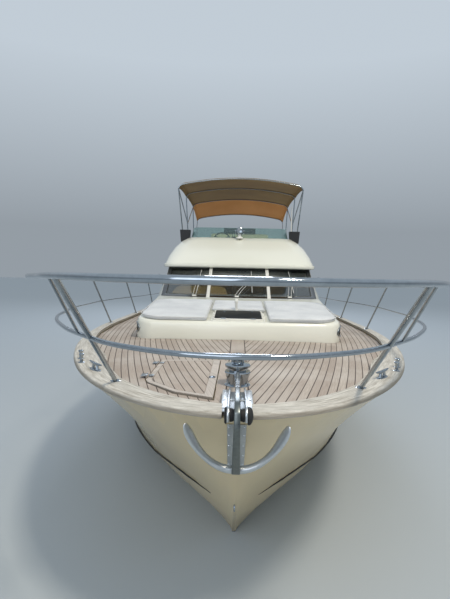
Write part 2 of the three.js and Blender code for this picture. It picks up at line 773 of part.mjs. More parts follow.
// Boss that carries a wheel, on the wheel's own axis
function wheelBoss(place, tilt) {
  const axis = new THREE.Vector3(0, 0, 1).applyAxisAngle(
    new THREE.Vector3(1, 0, 0),
    -Math.PI / 2 + THREE.MathUtils.degToRad(tilt),
  );
  const at = (distance) => vector(place).addScaledVector(axis, distance).toArray();
  return rod(at(-200), at(-55 - GAP), 30, 12);
}

const helmDesk = fin(helmOutline, HELM.x - HELM.half, HELM.x + HELM.half);
piece("saloon_wheel", placedWheel(SALOON_WHEEL, WHEEL_TILT), "black");
piece("saloon_helm", join(helmDesk, wheelBoss(SALOON_WHEEL, WHEEL_TILT)), "beige");

// Flybridge floor, which is also the saloon's roof and the windscreen's visor
function roofOutline(inset) {
  const corner = 260;
  const turn = arc(ROOF_HALF - corner, ROOF_FRONT_Y + corner, corner - inset, -90, -15, 5);
  const side = [1500, ROOF_AFT_Y - 200].map((y) => [1700 - inset, y]);
  return bothSides([[500, ROOF_FRONT_Y - 30 + inset], ...turn, ...side, [1500 - inset, ROOF_AFT_Y - inset]]);
}

const LADDER_WELL = { left: -1420, right: -820, front: 3350, aft: 4180 };

function makeRoof() {
  const ring = (inset, z) => roofOutline(inset).map(([x, y]) => [x, y, z]);
  const body = loft([
    ring(25, ROOF_Z),
    ring(0, ROOF_Z + 20),
    ring(0, ROOF_Z + ROOF_THICK - 10),
    ring(10, ROOF_Z + ROOF_THICK),
  ]);
  const well = LADDER_WELL;
  return cut(body, block(well.left, well.right, well.front, well.aft, ROOF_Z - 50, ROOF_Z + 150));
}

piece("flybridge_floor", makeRoof(), "gelcoat");
const FLY_Z = ROOF_Z + ROOF_THICK + GAP;

// Fairing: columns are height, half width, front y, corner radius
const FAIRING = [
  { z: FLY_Z, half: 1580, front: ROOF_FRONT_Y + 20, corner: 330 },
  { z: 3060, half: 1540, front: -400, corner: 350 },
  { z: 3250, half: 1455, front: -110, corner: 370 },
  { z: 3400, half: 1340, front: 130, corner: 390 },
  { z: FAIRING_TOP_Z, half: 1200, front: 290, corner: 360 },
];
const COAMING = 115;
const WELL_FRONT_Y = 300;
const FAIRING_AFT_Y = ROOF_AFT_Y - 120;

function fairingRing({ z, half, front: y, corner }, inset, frontInset) {
  const turn = arc(half - corner, y + corner + frontInset, corner - inset, -84, -6, 5);
  const end = [half - inset, FAIRING_AFT_Y + frontInset * 0.3];
  const outline = [[400, y + frontInset + inset * 0.6], ...turn, end];
  return bothSides(outline).map(([x, yy]) => [x, yy, z]);
}

function makeFairing() {
  const outer = loft(FAIRING.map((row) => fairingRing(row, 0, 0)));
  const innerRows = FAIRING.map((row) => ({ ...row, front: WELL_FRONT_Y }));
  innerRows.unshift({ ...innerRows[0], z: innerRows[0].z - 50 });
  innerRows.push({ ...innerRows[innerRows.length - 1], z: FAIRING_TOP_Z + 50 });
  const inner = loft(innerRows.map((row) => fairingRing(row, COAMING, 130)));
  const falling = fin(
    [
      [1500, FAIRING_TOP_Z + 100],
      [1500, FAIRING_TOP_Z],
      [FAIRING_AFT_Y + 50, 3230],
      [FAIRING_AFT_Y + 50, FAIRING_TOP_Z + 100],
    ],
    -2000,
    2000,
  );
  return cut(outer, inner, falling);
}

piece("flybridge_fairing", makeFairing(), "gelcoat");

// Tinted wind deflector on the fairing
const DEFLECTOR = { aft: 940, thick: 9, height: 240, halfLow: 1135, halfHigh: 1100, low: 345, high: 450 };

function makeDeflector() {
  const line = (half, y, aft, inset, z) => {
    const turn = arc(half - 300, y + 300, 300 - inset, -84, -4, 5);
    return [[0, y + inset], ...turn, [half - inset, aft]].map(([x, yy]) => [x, yy, z]);
  };
  const ring = (half, y, z) => {
    const outer = line(half, y, DEFLECTOR.aft, 0, z);
    const inner = line(half, y, DEFLECTOR.aft, DEFLECTOR.thick, z);
    return [...outer, ...inner.reverse()];
  };
  const { halfLow, halfHigh, low, high, height } = DEFLECTOR;
  const side = loft([ring(halfLow, low, FAIRING_TOP_Z + GAP), ring(halfHigh, high, FAIRING_TOP_Z + height)]);
  return join(side, mirrored(side));
}

piece("wind_deflector", makeDeflector(), "glass");

// Flybridge console, wheel and seats
const FLY_HELM = { x: -420, half: 420 };
const FLY_WHEEL = [FLY_HELM.x, 905, 3480];
const consoleShape = fin(
  [
    [560, FLY_Z + GAP],
    [780, FLY_Z + GAP],
    [800, 3400],
    [700, 3520],
    [560, 3440],
  ],
  FLY_HELM.x - FLY_HELM.half,
  FLY_HELM.x + FLY_HELM.half,
);
piece("flybridge_console", join(consoleShape, wheelBoss(FLY_WHEEL, WHEEL_TILT)), "gelcoat");
piece("flybridge_wheel", placedWheel(FLY_WHEEL, WHEEL_TILT), "black");
piece(
  "helm_seat",
  join(
    block(-760, 760, 1420, 1900, FLY_Z + GAP, 3300),
    block(-760, 760, 1780, 1900, 3200, 3700),
    block(-420, 420, 1790, 1890, 3690, 3830),
  ),
  "beige",
);
piece(
  "flybridge_sofa",
  join(block(560, 1130, 2250, 4050, FLY_Z + GAP, 3260), block(-500, 1130, 3500, 4050, FLY_Z + GAP, 3260)),
  "cushion",
);

// Sun awning: columns are y, height of the crown and half width of each bow
const BOWS = [
  { y: 700, z: 4900, half: 1470 },
  { y: 2200, z: 4930, half: 1460 },
  { y: 3800, z: 4880, half: 1440 },
  { y: 4900, z: 4560, half: 1400 },
];
const BOW_TUBE = 14;
const BOW_DROP = 245;
const CANVAS = 10;

// Points over a bow from port to starboard, raised by a lift
function bowPoints({ y, z, half }, lift) {
  const shares = [-1, -0.93, -0.6, 0, 0.6, 0.93, 1];
  const drops = [BOW_DROP, 138, 60, 0, 60, 138, BOW_DROP];
  return shares.map((s, i) => [half * s, y, z - drops[i] + lift]);
}

// Feet of the awning's legs on the coaming: columns are x, y and z of the top of each post
const FEET = {
  front: [1400, 1300, 3410],
  middle: [1405, 2450, 3390],
  rear: [1390, 3950, 3300],
};
const FOOT_POST = 170;
const KNEE = [1427, 2338, 4000];

// Tube over a bow: rings of points in upright planes along the bow
function bowTube(points, radius) {
  const rings = points.map(([x, y, z]) => arc(y, z, radius, 0, 315, 7).map(([yy, zz]) => [x, yy, zz]));
  return loft(rings);
}

function makeAwningFrame() {
  const bows = BOWS.map((bow) => bowTube(bowPoints(bow, 0), BOW_TUBE));
  const onSide = (side, [x, y, z]) => [side * x, y, z];
  const sides = [1, -1].flatMap((side) => {
    const end = (i) => [side * (BOWS[i].half - 4), BOWS[i].y, BOWS[i].z - BOW_DROP - BOW_TUBE];
    const foot = (name) => onSide(side, FEET[name]);
    const post = (name) => {
      const [x, y, z] = foot(name);
      return rod([x, y, z], [x, y, z - FOOT_POST], 20);
    };
    const leg = (from, to) => rod(from, to, BOW_TUBE, 6);
    const knee = onSide(side, KNEE);
    return [
      leg(foot("middle"), end(1)),
      leg(knee, end(0)),
      leg(knee, end(2)),
      leg(end(0), foot("front")),
      leg(end(3), foot("rear")),
      leg(end(2), foot("rear")),
      ...Object.keys(FEET).map(post),
    ];
  });
  return join(...bows, ...sides);
}

piece("awning_frame", seat(makeAwningFrame(), shapes.flybridge_fairing), "steel");

function makeCanvas() {
  const rings = BOWS.map((bow) => {
    const low = bowPoints(bow, BOW_TUBE + GAP);
    const high = bowPoints(bow, BOW_TUBE + GAP + CANVAS);
    return [...low, ...high.reverse()];
  });
  return loft(rings);
}

piece("awning_canvas", makeCanvas(), "canvas");

// Searchlight, lights and aerial on the fairing
const LIGHT_Y = 215;
const lampPlace = [0, LIGHT_Y - 15, FAIRING_TOP_Z + 150];
const lamp = join(
  rod([0, LIGHT_Y, FAIRING_TOP_Z - 110], [0, LIGHT_Y, FAIRING_TOP_Z + 90], 40, 12),
  rod([-95, ...lampPlace.slice(1)], [95, ...lampPlace.slice(1)], 75, 16),
);
piece("searchlight", clear(lamp, shapes.flybridge_fairing, shapes.wind_deflector), "steel");
const navCorners = (inner, outer, near, far, z) => [
  [inner, near, z],
  [outer, near, z],
  [outer, far, z],
  [inner, far, z],
];
const navBox = loft([
  navCorners(1170, 1370, 500, 660, 3400),
  navCorners(1155, 1390, 480, 680, 3672),
]);
const navLight = clear(navBox, shapes.flybridge_fairing, shapes.wind_deflector, shapes.awning_frame);
pair("side_light", navLight, "black");
const AERIAL = { x: 1270, y: 1180, top: 4330 };
const aerialPoint = (z) => [AERIAL.x, AERIAL.y, z];
const aerial = join(
  rod(aerialPoint(FAIRING_TOP_Z - 90), aerialPoint(FAIRING_TOP_Z + 60), 26, 8),
  rod(aerialPoint(FAIRING_TOP_Z + 40), aerialPoint(AERIAL.top), 11, 6),
);
piece("aerial", seat(aerial, shapes.flybridge_fairing), "white");

// Cockpit pieces
piece(
  "cockpit_sofa",
  join(block(-1500, 820, 5350, 5950, SOLE_Z + GAP, 1330), block(-1500, 820, 5800, 5998, 1300, 1700)),
  "cushion",
);

// Gate in the transom, with two hinge knuckles on its outer edge
function makeGate() {
  const { inner, outer, thick, low, high, margin } = GATE;
  const panel = block(inner + margin, outer - margin, TRANSOM_Y - thick, TRANSOM_Y, low, high);
  const onHinge = (z) => [outer - margin, TRANSOM_Y, z];
  const knuckle = (z) => rod(onHinge(z), onHinge(z + 90), margin - GAP, 12);
  return join(panel, knuckle(low + 80), knuckle(high - 170));
}

piece("transom_gate", makeGate(), "gelcoat");
const lid = ENGINE_LID;
const lidBlock = block(-lid.half + 5, lid.half - 5, lid.front + 5, lid.aft - 5, SOLE_Z - lid.thick, SOLE_Z - 1);
piece("engine_hatch", lidBlock, "teak");

function makePlatform() {
  const half = [[1900, TRANSOM_Y + GAP], ...arc(1900 - 260, 7300 - 260, 260, 0, 90, 4)];
  const deck = prism(bothSides(half), 300, 380);
  const step = block(960, 1440, TRANSOM_Y + GAP, 6600, 370, 640);
  return join(deck, step);
}

piece("swim_platform", makePlatform(), "gelcoat");

// Ladder between the cockpit and the flybridge: raked side boards and treads
function makeLadder() {
  const foot = { y: 4900, z: SOLE_Z + GAP };
  const head = { y: 3900, z: ROOF_Z + 60 };
  const board = fin(
    [
      [foot.y - 90, foot.z],
      [foot.y + 90, foot.z],
      [head.y + 90, head.z],
      [head.y - 90, head.z],
    ],
    0,
    30,
  );
  const treads = [1, 2, 3, 4, 5, 6].map((i) => {
    const share = i / 7;
    const y = foot.y + (head.y - foot.y) * share;
    const z = foot.z + (head.z - foot.z) * share;
    return block(-1370, -870, y - 100, y + 100, z - 15, z + 15);
  });
  return join(moved(board, -1390, 0, 0), moved(board, -880, 0, 0), ...treads);
}

piece("flybridge_ladder", makeLadder(), "teak");

// Engines on the bay floor
const engineBlock = block(250, 1010, 3150, 4450, ENGINE_BAY.low + GAP, 560);
pair("engine", join(engineBlock, block(400, 860, 3300, 4100, 540, 690)), "engine");

function makeBracket() {
  const barrel = rod(onShaft(-330), onShaft(-150), 42, 12);
  const middle = onShaft(-240);
  const [, y, z] = middle;
  const outline = [
    [y - 70, z + 30],
    [y + 70, z + 30],
    [y + 80, 0],
    [y - 80, 0],
  ];
  const strut = fin(outline, SHAFT.x - 10, SHAFT.x + 10);
  return cut(join(strut, barrel), rod(onShaft(-350), onShaft(-130), SHAFT.bore, 12));
}

piece("shaft_bracket_port", clear(makeBracket(), hull), "bronze");
piece("shaft_bracket_starboard", clear(mirrored(makeBracket()), hull), "bronze");

function makePropeller() {
  const hub = rod(onShaft(-75), onShaft(75), 48, 12);
  const line = rod(onShaft(SHAFT_LOG_END + GAP), onShaft(0), SHAFT.radius, 12);
  const outline = new THREE.Shape();
  outline.absellipse(0, 150, 95, 132, 0, 2 * Math.PI);
  const turn = new THREE.Quaternion().setFromUnitVectors(new THREE.Vector3(0, 0, 1), shaftAxis);
  const blades = [0, 1, 2, 3].map((i) => {
    const blade = new THREE.ExtrudeGeometry(outline, { depth: 12, bevelEnabled: false, curveSegments: 7 });
    blade.translate(0, 0, -6).rotateY(THREE.MathUtils.degToRad(28));
    blade.rotateZ((i * Math.PI) / 2 + Math.PI / 4);
    return blade.applyQuaternion(turn).translate(SHAFT.x, SHAFT.propY, SHAFT.propZ);
  });
  return join(hub, line, ...blades);
}

pair("propeller", makePropeller(), "bronze");

function makeRudder() {
  const blade = [
    [-130, RUDDER.high],
    [215, RUDDER.high - 20],
    [175, RUDDER.low],
    [-90, RUDDER.low],
  ];
  const shape = fin(blade.map(([y, z]) => [RUDDER.y + y, z]), RUDDER.x - 15, RUDDER.x + 15);
  const onStock = (z) => [RUDDER.x, RUDDER.y, z];
  return join(shape, rod(onStock(RUDDER.high - 100), onStock(RUDDER_GLAND_Z - GAP), 26, 12));
}

pair("rudder", makeRudder(), "bronze");

// Foredeck gear: windlass, roller, chain and anchor
const deckTeakTop = (x, y) => deckHeight(x, y) + TEAK;
const WINDLASS = { x: 0, y: STEM_Y + 830, radius: 105 };
const windlassZ = deckTeakTop(0, WINDLASS.y);
const ROLLER = { y: -7375, z: capTop(STEM_Y) + 12, radius: 42, half: 62 };

function makeWindlass() {
  const base = rod([0, 0, -5], [0, 0, 20], WINDLASS.radius, 20);
  const motor = rod([0, 0, 10], [0, 0, 110], 82, 16);
  return join(base, motor).translate(WINDLASS.x, WINDLASS.y, windlassZ);
}

function makeDrum() {
  const profile = [
    [0, 0],
    [70, 0],
    [84, 14],
    [62, 40],
    [56, 70],
    [66, 100],
    [78, 118],
    [70, 132],
    [0, 138],
  ];
  const lathe = new THREE.LatheGeometry(profile.map(([r, z]) => new THREE.Vector2(r, z)), 20);
  return lathe.rotateX(Math.PI / 2).translate(WINDLASS.x, WINDLASS.y, windlassZ + 110 + GAP);
}

function makeRoller() {
  const cheek = [
    [-6720, 1862],
    [-6720, 1905],
    [-7180, 1965],
    [-7420, 1965],
    [-7430, 1880],
    [-7330, 1862],
  ];
  const sides = [-1, 1].map((side) => fin(cheek, side * 70 - 4, side * 70 + 4));
  const floorOutline = [
    [-6720, 1862],
    [-6720, 1874],
    [-7290, 1882],
    [-7320, 1862],
  ];
  const floor = fin(floorOutline, -72, 72);
  const across = (half, radius, sides) =>
    rod([-half, ROLLER.y, ROLLER.z], [half, ROLLER.y, ROLLER.z], radius, sides);
  const wheel = across(ROLLER.half, ROLLER.radius, 16);
  const pin = across(90, 12, 10);
  return clear(join(floor, ...sides, wheel, pin), hull, shapes.covering_board_port, shapes.covering_board_starboard);
}

piece("bow_roller", makeRoller(), "steel");

// Anchor hanging from the roller, its crown just ahead of the stem
function makeAnchor() {
  const top = ROLLER.z + ROLLER.radius;
  const shank = fin(
    [
      [-7060, top + GAP],
      [-7060, top + 50],
      [-7390, top + 52],
      [-7470, top - 10],
      [-7490, top - 90],
      [-7190, 1440],
      [-7120, 1470],
      [-7435, 1905],
      [-7425, top - 6],
      [-7385, top + GAP],
    ],
    -17,
    17,
  );
  const arm = tube(
    [
      [0, -7160, 1462],
      [120, -7165, 1490],
      [215, -7185, 1570],
      [290, -7220, 1690],
      [335, -7250, 1800],
    ],
    26,
    12,
  );
  return join(shank, arm, mirrored(arm));
}

piece("anchor", clear(makeAnchor(), shapes.bow_roller), "steel");

// Plain run of chain from the windlass to the anchor's shank
const chain = rod([0, WINDLASS.y - 86, windlassZ + 118], [0, -7070, ROLLER.z + ROLLER.radius + 26], 11, 8);
piece("anchor_chain", clear(chain, shapes.anchor), "steel");

// Teak deck with its openings, laid on the moulded deck
function makeTeak() {
  const plate = deckSlab(BULWARK + WATERWAY, DECK_AFT_Y - 60, -30, TEAK);
  const well = block(-1700, 1700, SALOON.front - 200, 7000, 1000, ABOVE);
  const footprint = bothSides([...trunkHalf(-2), [TRUNK.halfAft + 2, -1590], [1574, SALOON.front - 180]]);
  const locker = prism(shrunk(LOCKER, -LID_GAP), 1000, ABOVE);
  const slot = block(-SLOT.half, SLOT.half, STEM_Y, STEM_Y + SLOT.length + 10, 1000, ABOVE);
  return seat(cut(plate, well, prism(footprint, 1000, ABOVE), locker, slot), hull);
}

piece("deck_teak", makeTeak(), "teak");
const lidPlate = deckSlab(BULWARK, DECK_AFT_Y, 1 - LOCKER_REBATE, TEAK);
const lockerLid = common(lidPlate, prism(shrunk(LOCKER, LID_GAP), 0, ABOVE));
piece("anchor_locker_lid", lockerLid, "teak");
piece("windlass", seat(makeWindlass(), shapes.deck_teak), "steel");
piece("windlass_drum", makeDrum(), "steel");

// Guard rails: columns are x, distance aft of the stem and height above the covering board
const TOP_RAIL = [
  [0, -1100, 840],
  [500, -940, 840],
  [940, -520, 838],
  [1310, 100, 826],
  [1670, 750, 816],
  [1940, 1450, 812],
  [2100, 2600, 808],
];
const TOP_RAIL_AFT = [
  [2100, 2600, 808],
  [2150, 3800, 806],
  [2165, 5200, 802],
  [2165, 7200, 796],
  [2150, 9000, 788],
  [2140, 9700, 740],
  [2130, 9880, 500],
  [2125, 9900, 0],
];
const MID_RAIL = [
  [0, -450, 437],
  [600, -250, 437],
  [1080, 250, 437],
  [1430, 800, 432],
  [1700, 1400, 428],
  [1930, 2300, 418],
  [2020, 2600, 412],
];
const railPoint = ([x, d, h]) => [x, STEM_Y + d, capTop(STEM_Y + d) + h];
const mirrorPoint = ([x, y, z]) => [-x, y, z];
const RAIL_TUBE = 18;
const MID_TUBE = 16;
const STANCHION = 13;
const THIN_STRUT = 11;
const FOOT_DEPTH = 10;

// Stanchions: columns are x and distance aft of the foot, then of the head
const STANCHIONS = [
  { foot: [2140, 4750], head: [2148, 3730] },
  { foot: [2150, 6650], head: [2165, 5700] },
  { foot: [2140, 8500], head: [2158, 7750] },
];

function makeBowRail() {
  const half = (list) => list.map(railPoint);
  const whole = (list) => [...half(list).slice(1).reverse().map(mirrorPoint), ...half(list)];
  const strut = (side) => {
    const foot = railPoint([side * 962, 730, -FOOT_DEPTH]);
    const head = railPoint([side * 930, -530, 836]);
    const second = railPoint([side * 1092, 262, 437]);
    const upper = railPoint([side * 1008, -420, 836]);
    return [rod(foot, head, RAIL_TUBE), rod(second, upper, THIN_STRUT)];
  };
  return join(
    tube(whole(TOP_RAIL), RAIL_TUBE, 30),
    tube(whole(MID_RAIL), MID_TUBE, 22, 6),
    ...strut(1),
    ...strut(-1),
  );
}

function makeSideRail() {
  const top = tube(TOP_RAIL_AFT.map(railPoint), RAIL_TUBE, 22);
  const midLine = [
    [2020, 2600, 412],
    [2090, 3400, 404],
    [2142, 4300, 397],
    [2152, 7300, 328],
    [2145, 9885, 285],
  ];
  const mid = tube(midLine.map(railPoint), 9, 10, 6);
  const posts = STANCHIONS.map(({ foot, head }) => {
    const base = railPoint([foot[0], foot[1], -FOOT_DEPTH]);
    return rod(base, railPoint([head[0], head[1], 800]), STANCHION);
  });
  return join(top, mid, ...posts);
}

const boards = [shapes.covering_board_port, shapes.covering_board_starboard];
const bowRail = seat(makeBowRail(), ...boards);
piece("bow_rail", bowRail, "steel");
const sideRail = clear(seat(makeSideRail(), shapes.covering_board_port), shapes.bow_rail);
pair("side_rail", sideRail, "steel");

export default yacht;
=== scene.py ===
"""A flybridge motor yacht of about 14.6 m, dressed over its solids.

Everything is in metres. The bow points to -Y, port is +X and up is +Z.
The origin is on the waterline, amidships.
"""

import math

import bpy
from mathutils import Euler, Matrix, Vector


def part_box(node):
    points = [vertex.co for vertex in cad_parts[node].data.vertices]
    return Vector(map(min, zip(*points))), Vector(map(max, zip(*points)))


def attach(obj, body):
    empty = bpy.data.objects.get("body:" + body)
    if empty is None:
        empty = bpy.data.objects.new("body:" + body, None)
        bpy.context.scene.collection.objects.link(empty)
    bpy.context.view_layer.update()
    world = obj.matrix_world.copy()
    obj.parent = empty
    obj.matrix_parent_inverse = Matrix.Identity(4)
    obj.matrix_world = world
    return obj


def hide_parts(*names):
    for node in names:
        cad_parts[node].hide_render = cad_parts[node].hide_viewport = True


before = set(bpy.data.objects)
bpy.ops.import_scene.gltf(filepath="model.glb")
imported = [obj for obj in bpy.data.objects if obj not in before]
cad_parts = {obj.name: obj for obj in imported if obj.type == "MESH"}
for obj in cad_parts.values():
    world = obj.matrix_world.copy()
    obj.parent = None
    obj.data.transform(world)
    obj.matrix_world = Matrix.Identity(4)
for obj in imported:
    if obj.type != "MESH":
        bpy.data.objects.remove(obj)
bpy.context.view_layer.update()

HULL = "hull_body"
TURN = 2 * math.pi

# Camera, set as the photograph was taken
CAMERA_PLACE = Vector((-0.014, -10.05, 2.80))
CAMERA_PITCH = math.radians(4.0)
CAMERA_YAW = math.radians(-1.6)
CAMERA_ROLL = math.radians(1.2)
CAMERA_LENS = 27.05
SENSOR = 36


def make_camera():
    """Aims the camera by pitch, yaw and roll"""
    data = bpy.data.cameras.new("camera")
    data.lens = CAMERA_LENS
    data.sensor_width = SENSOR
    data.clip_start = 0.05
    data.clip_end = 400
    camera = bpy.data.objects.new("camera", data)
    bpy.context.scene.collection.objects.link(camera)
    level = Vector((math.sin(CAMERA_YAW), math.cos(CAMERA_YAW), 0))
    right = Vector((level.y, -level.x, 0))
    ahead = level * math.cos(CAMERA_PITCH) - Vector((0, 0, math.sin(CAMERA_PITCH)))
    up = right.cross(ahead)
    across = right * math.cos(CAMERA_ROLL) + up * math.sin(CAMERA_ROLL)
    upward = up * math.cos(CAMERA_ROLL) - right * math.sin(CAMERA_ROLL)
    turn = Matrix((across, upward, -ahead)).transposed().to_4x4()
    camera.matrix_world = Matrix.Translation(CAMERA_PLACE) @ turn
    bpy.context.scene.camera = camera


make_camera()

# Tools for modelling

# How far a cutter reaches past what it cuts
CUT_REACH = 0.1


def deselect():
    """Leaves edit mode and empties the selection"""
    if bpy.context.object and bpy.context.object.mode != "OBJECT":
        bpy.ops.object.mode_set(mode="OBJECT")
    bpy.ops.object.select_all(action="DESELECT")


def only(piece):
    """Makes a piece the one selected and active object"""
    deselect()
    piece.select_set(True)
    bpy.context.view_layer.objects.active = piece
    return piece


def added(kind, **place):
    """Adds a mesh primitive at its size and place"""
    deselect()
    getattr(bpy.ops.mesh, "primitive_" + kind + "_add")(**place)
    bpy.ops.object.transform_apply()
    return bpy.context.object


def edit(piece, kind="FACE"):
    """Opens a piece in edit mode with everything selected"""
    only(piece)
    bpy.ops.object.mode_set(mode="EDIT")
    bpy.ops.mesh.select_mode(type=kind)
    bpy.ops.mesh.select_all(action="SELECT")


def close():
    """Goes back to object mode"""
    bpy.ops.object.mode_set(mode="OBJECT")


def pick(piece, test):
    """Opens a piece in edit mode with only the faces selected that a test of centre and normal passes"""
    edit(piece)
    bpy.ops.mesh.select_all(action="DESELECT")
    close()
    for face in piece.data.polygons:
        face.select = bool(test(face.center, face.normal))
    bpy.ops.object.mode_set(mode="EDIT")


def modified(piece, kind, **settings):
    """Applies one modifier to a piece"""
    only(piece)
    modifier = piece.modifiers.new("step", kind)
    for key, value in settings.items():
        setattr(modifier, key, value)
    bpy.ops.object.modifier_apply(modifier=modifier.name)
    return piece


def cut(piece, cutter):
    """Takes a cutter out of a piece, and removes the cutter"""
    modified(piece, "BOOLEAN", operation="DIFFERENCE", solver="EXACT", object=cutter)
    bpy.data.objects.remove(cutter)
    return piece


def rounded(piece, width, segments=2, angle=30):
    """Rounds the sharp edges of a piece"""
    limit = math.radians(angle)
    return modified(piece, "BEVEL", width=width, segments=segments, limit_method="ANGLE", angle_limit=limit)


MERGE = 1e-5


def tidied(piece):
    """Merges doubles and turns every face outwards"""
    edit(piece)
    bpy.ops.mesh.remove_doubles(threshold=MERGE)
    bpy.ops.mesh.normals_make_consistent(inside=False)
    close()
    return piece


def fill_ends():
    """Fills the open ends of the piece in edit mode"""
    bpy.ops.mesh.select_all(action="DESELECT")
    bpy.ops.mesh.select_non_manifold()
    bpy.ops.mesh.fill_holes(sides=0)


def shut(piece, gap):
    """Merges doubles, fills the open ends and turns every face outwards"""
    edit(piece, "EDGE")
    bpy.ops.mesh.remove_doubles(threshold=gap)
    fill_ends()
    bpy.ops.mesh.select_all(action="SELECT")
    bpy.ops.mesh.normals_make_consistent(inside=False)
    close()
    return piece


def placed(piece, place=(0, 0, 0), turn=(0, 0, 0)):
    """Turns a piece by degrees about the origin, then moves it"""
    angles = Euler([math.radians(a) for a in turn])
    piece.data.transform(Matrix.LocRotScale(Vector(place), angles, None))
    return piece


def copied(piece, place=(0, 0, 0), turn=(0, 0, 0)):
    """Copies a piece with its own mesh, turned and moved"""
    only(piece)
    bpy.ops.object.duplicate(linked=False)
    return placed(bpy.context.object, place, turn)


def mirrored(piece):
    """Copies a piece to the other side of the centreline"""
    other = copied(piece)
    other.data.transform(Matrix.Scale(-1, 4, (1, 0, 0)))
    other.data.flip_normals()
    return other


def joined(pieces):
    """Joins several pieces into the first"""
    deselect()
    for piece in pieces:
        piece.select_set(True)
    bpy.context.view_layer.objects.active = pieces[0]
    if len(pieces) > 1:
        bpy.ops.object.join()
    return pieces[0]


def tube(points, radius, radii=None, closed=False, sides=3, steps=6, straight=False):
    """Bends a round tube through points: a curve with a round bevel, made a mesh"""
    deselect()
    bpy.ops.curve.primitive_bezier_curve_add()
    curve = bpy.context.object
    spline = curve.data.splines[0]
    spline.bezier_points.add(len(points) - 2)
    handle = "VECTOR" if straight or len(points) == 2 else "AUTO"
    for i, point in enumerate(spline.bezier_points):
        point.co = points[i]
        point.handle_left_type = point.handle_right_type = handle
        point.radius = radii[i] if radii else 1.0
    spline.use_cyclic_u = closed
    spline.resolution_u = 1 if handle == "VECTOR" else steps
    curve.data.bevel_depth = radius
    curve.data.bevel_resolution = sides
    curve.data.use_fill_caps = not closed
    bpy.ops.object.convert(target="MESH")
    piece = only(bpy.context.object)
    bpy.ops.object.transform_apply()
    return piece


def turned(profile, place=(0, 0, 0), turn=(0, 0, 0), steps=32):
    """Spins a profile of radius and height about the upright axis, then turns and moves the shape"""
    piece = added("circle", vertices=len(profile), radius=1)
    for vertex, (radius, height) in zip(piece.data.vertices, profile):
        vertex.co = (radius, 0, height)
    last = len(profile) - 1
    edit(piece, "EDGE")
    bpy.ops.mesh.select_all(action="DESELECT")
    close()
    for line in piece.data.edges:
        line.select = set(line.vertices) == {0, last}
    bpy.ops.object.mode_set(mode="EDIT")
    bpy.ops.mesh.delete(type="EDGE")
    bpy.ops.mesh.select_all(action="SELECT")
    bpy.ops.mesh.spin(steps=steps, angle=TURN, center=(0, 0, 0), axis=(0, 0, 1))
    close()
    return placed(tidied(piece), place, turn)


def plate(outline, low, high):
    """Draws a flat outline of x and y up into a plate"""
    piece = added("circle", vertices=len(outline), fill_type="NGON")
    for vertex, (x, y) in zip(piece.data.vertices, outline):
        vertex.co = (x, y, low)
    edit(piece)
    bpy.ops.mesh.extrude_region_move(TRANSFORM_OT_translate={"value": (0, 0, high - low)})
    bpy.ops.mesh.select_all(action="SELECT")
    bpy.ops.mesh.normals_make_consistent(inside=False)
    close()
    return piece


def block(low, high, edge=0.004, segments=2):
    """A block between two corners with rounded edges"""
    low, high = Vector(low), Vector(high)
    piece = added("cube", size=1, location=(low + high) / 2, scale=high - low)
    return rounded(piece, edge, segments) if edge else piece


def sheet(across, along, place):
    """A grid whose corners are set by place(u, v), both from 0 to 1"""
    piece = added("grid", x_subdivisions=across, y_subdivisions=along, size=2)
    for vertex in piece.data.vertices:
        vertex.co = place((vertex.co.x + 1) / 2, (vertex.co.y + 1) / 2)
    return piece


def arc(cx, cy, radius, start, end, steps):
    """Points of an arc in plan, with its angles in degrees"""
    angles = [math.radians(start + (end - start) * i / steps) for i in range(steps + 1)]
    return [(cx + radius * math.cos(a), cy + radius * math.sin(a)) for a in angles]


def coated(piece, material):
    """Gives a piece one material only"""
    piece.data.materials.clear()
    piece.data.materials.append(material)


def soft_oblong(half_x, half_y, corner, steps=6):
    """Outline of a rectangle with rounded corners, about the origin"""
    outline = []
    for sx, sy, start in ((1, -1, -90), (1, 1, 0), (-1, 1, 90), (-1, -1, 180)):
        outline += arc(sx * (half_x - corner), sy * (half_y - corner), corner, start, start + 90, steps)
    return outline


def finished(name, piece, material, *stands_for, body=HULL, angle=40, slot=None):
    """Names a piece, gives it its finish, and says what carries it and what it stands for"""
    slot = slot or SLOT_OF[material.name]
    piece.name = name
    piece.data.name = name
    coated(piece, material)
    for face in piece.data.polygons:
        face.material_index = 0
    only(piece)
    bpy.ops.object.shade_smooth_by_angle(angle=math.radians(angle))
    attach(piece, body)
    if stands_for:
        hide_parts(*stands_for)
    return piece


UPRIGHT = Matrix(((0, 0, 1, 0), (1, 0, 0, 0), (0, 1, 0, 0), (0, 0, 0, 1)))


def fin(outline, low, high):
    """A plate whose outline is of y and z, between two values of x"""
    piece = plate(outline, low, high)
    piece.data.transform(UPRIGHT)
    return piece


def lofted(rings):
    """Skins closed rings of points, all alike in number, and shuts both ends"""
    across, along = len(rings[0]), len(rings) - 1
    return shut(sheet(across, along, lambda u, v: rings[round(v * along)][round(u * across) % across]), 1e-6)


CLOTH_STEPS = 12


def stuff(core, cap):
    """Blows a remeshed pad up by a short cloth run, each point moving no further than a cap"""
    before = [vertex.co.copy() for vertex in core.data.vertices]
    only(core)
    cloth = core.modifiers.new("stuffing", "CLOTH")
    cloth.settings.use_pressure = True
    cloth.settings.uniform_pressure_force = 4
    cloth.settings.effector_weights.gravity = 0
    cloth.settings.quality = 4
    cloth.point_cache.frame_start = 1
    cloth.point_cache.frame_end = CLOTH_STEPS
    for step in range(1, CLOTH_STEPS + 1):
        bpy.context.scene.frame_set(step)
    bpy.ops.object.modifier_apply(modifier=cloth.name)
    bpy.context.scene.frame_set(1)
    for vertex, old in zip(core.data.vertices, before):
        shift = vertex.co - old
        if shift.length > cap:
            shift *= cap / shift.length
        vertex.co = old + shift
    return core


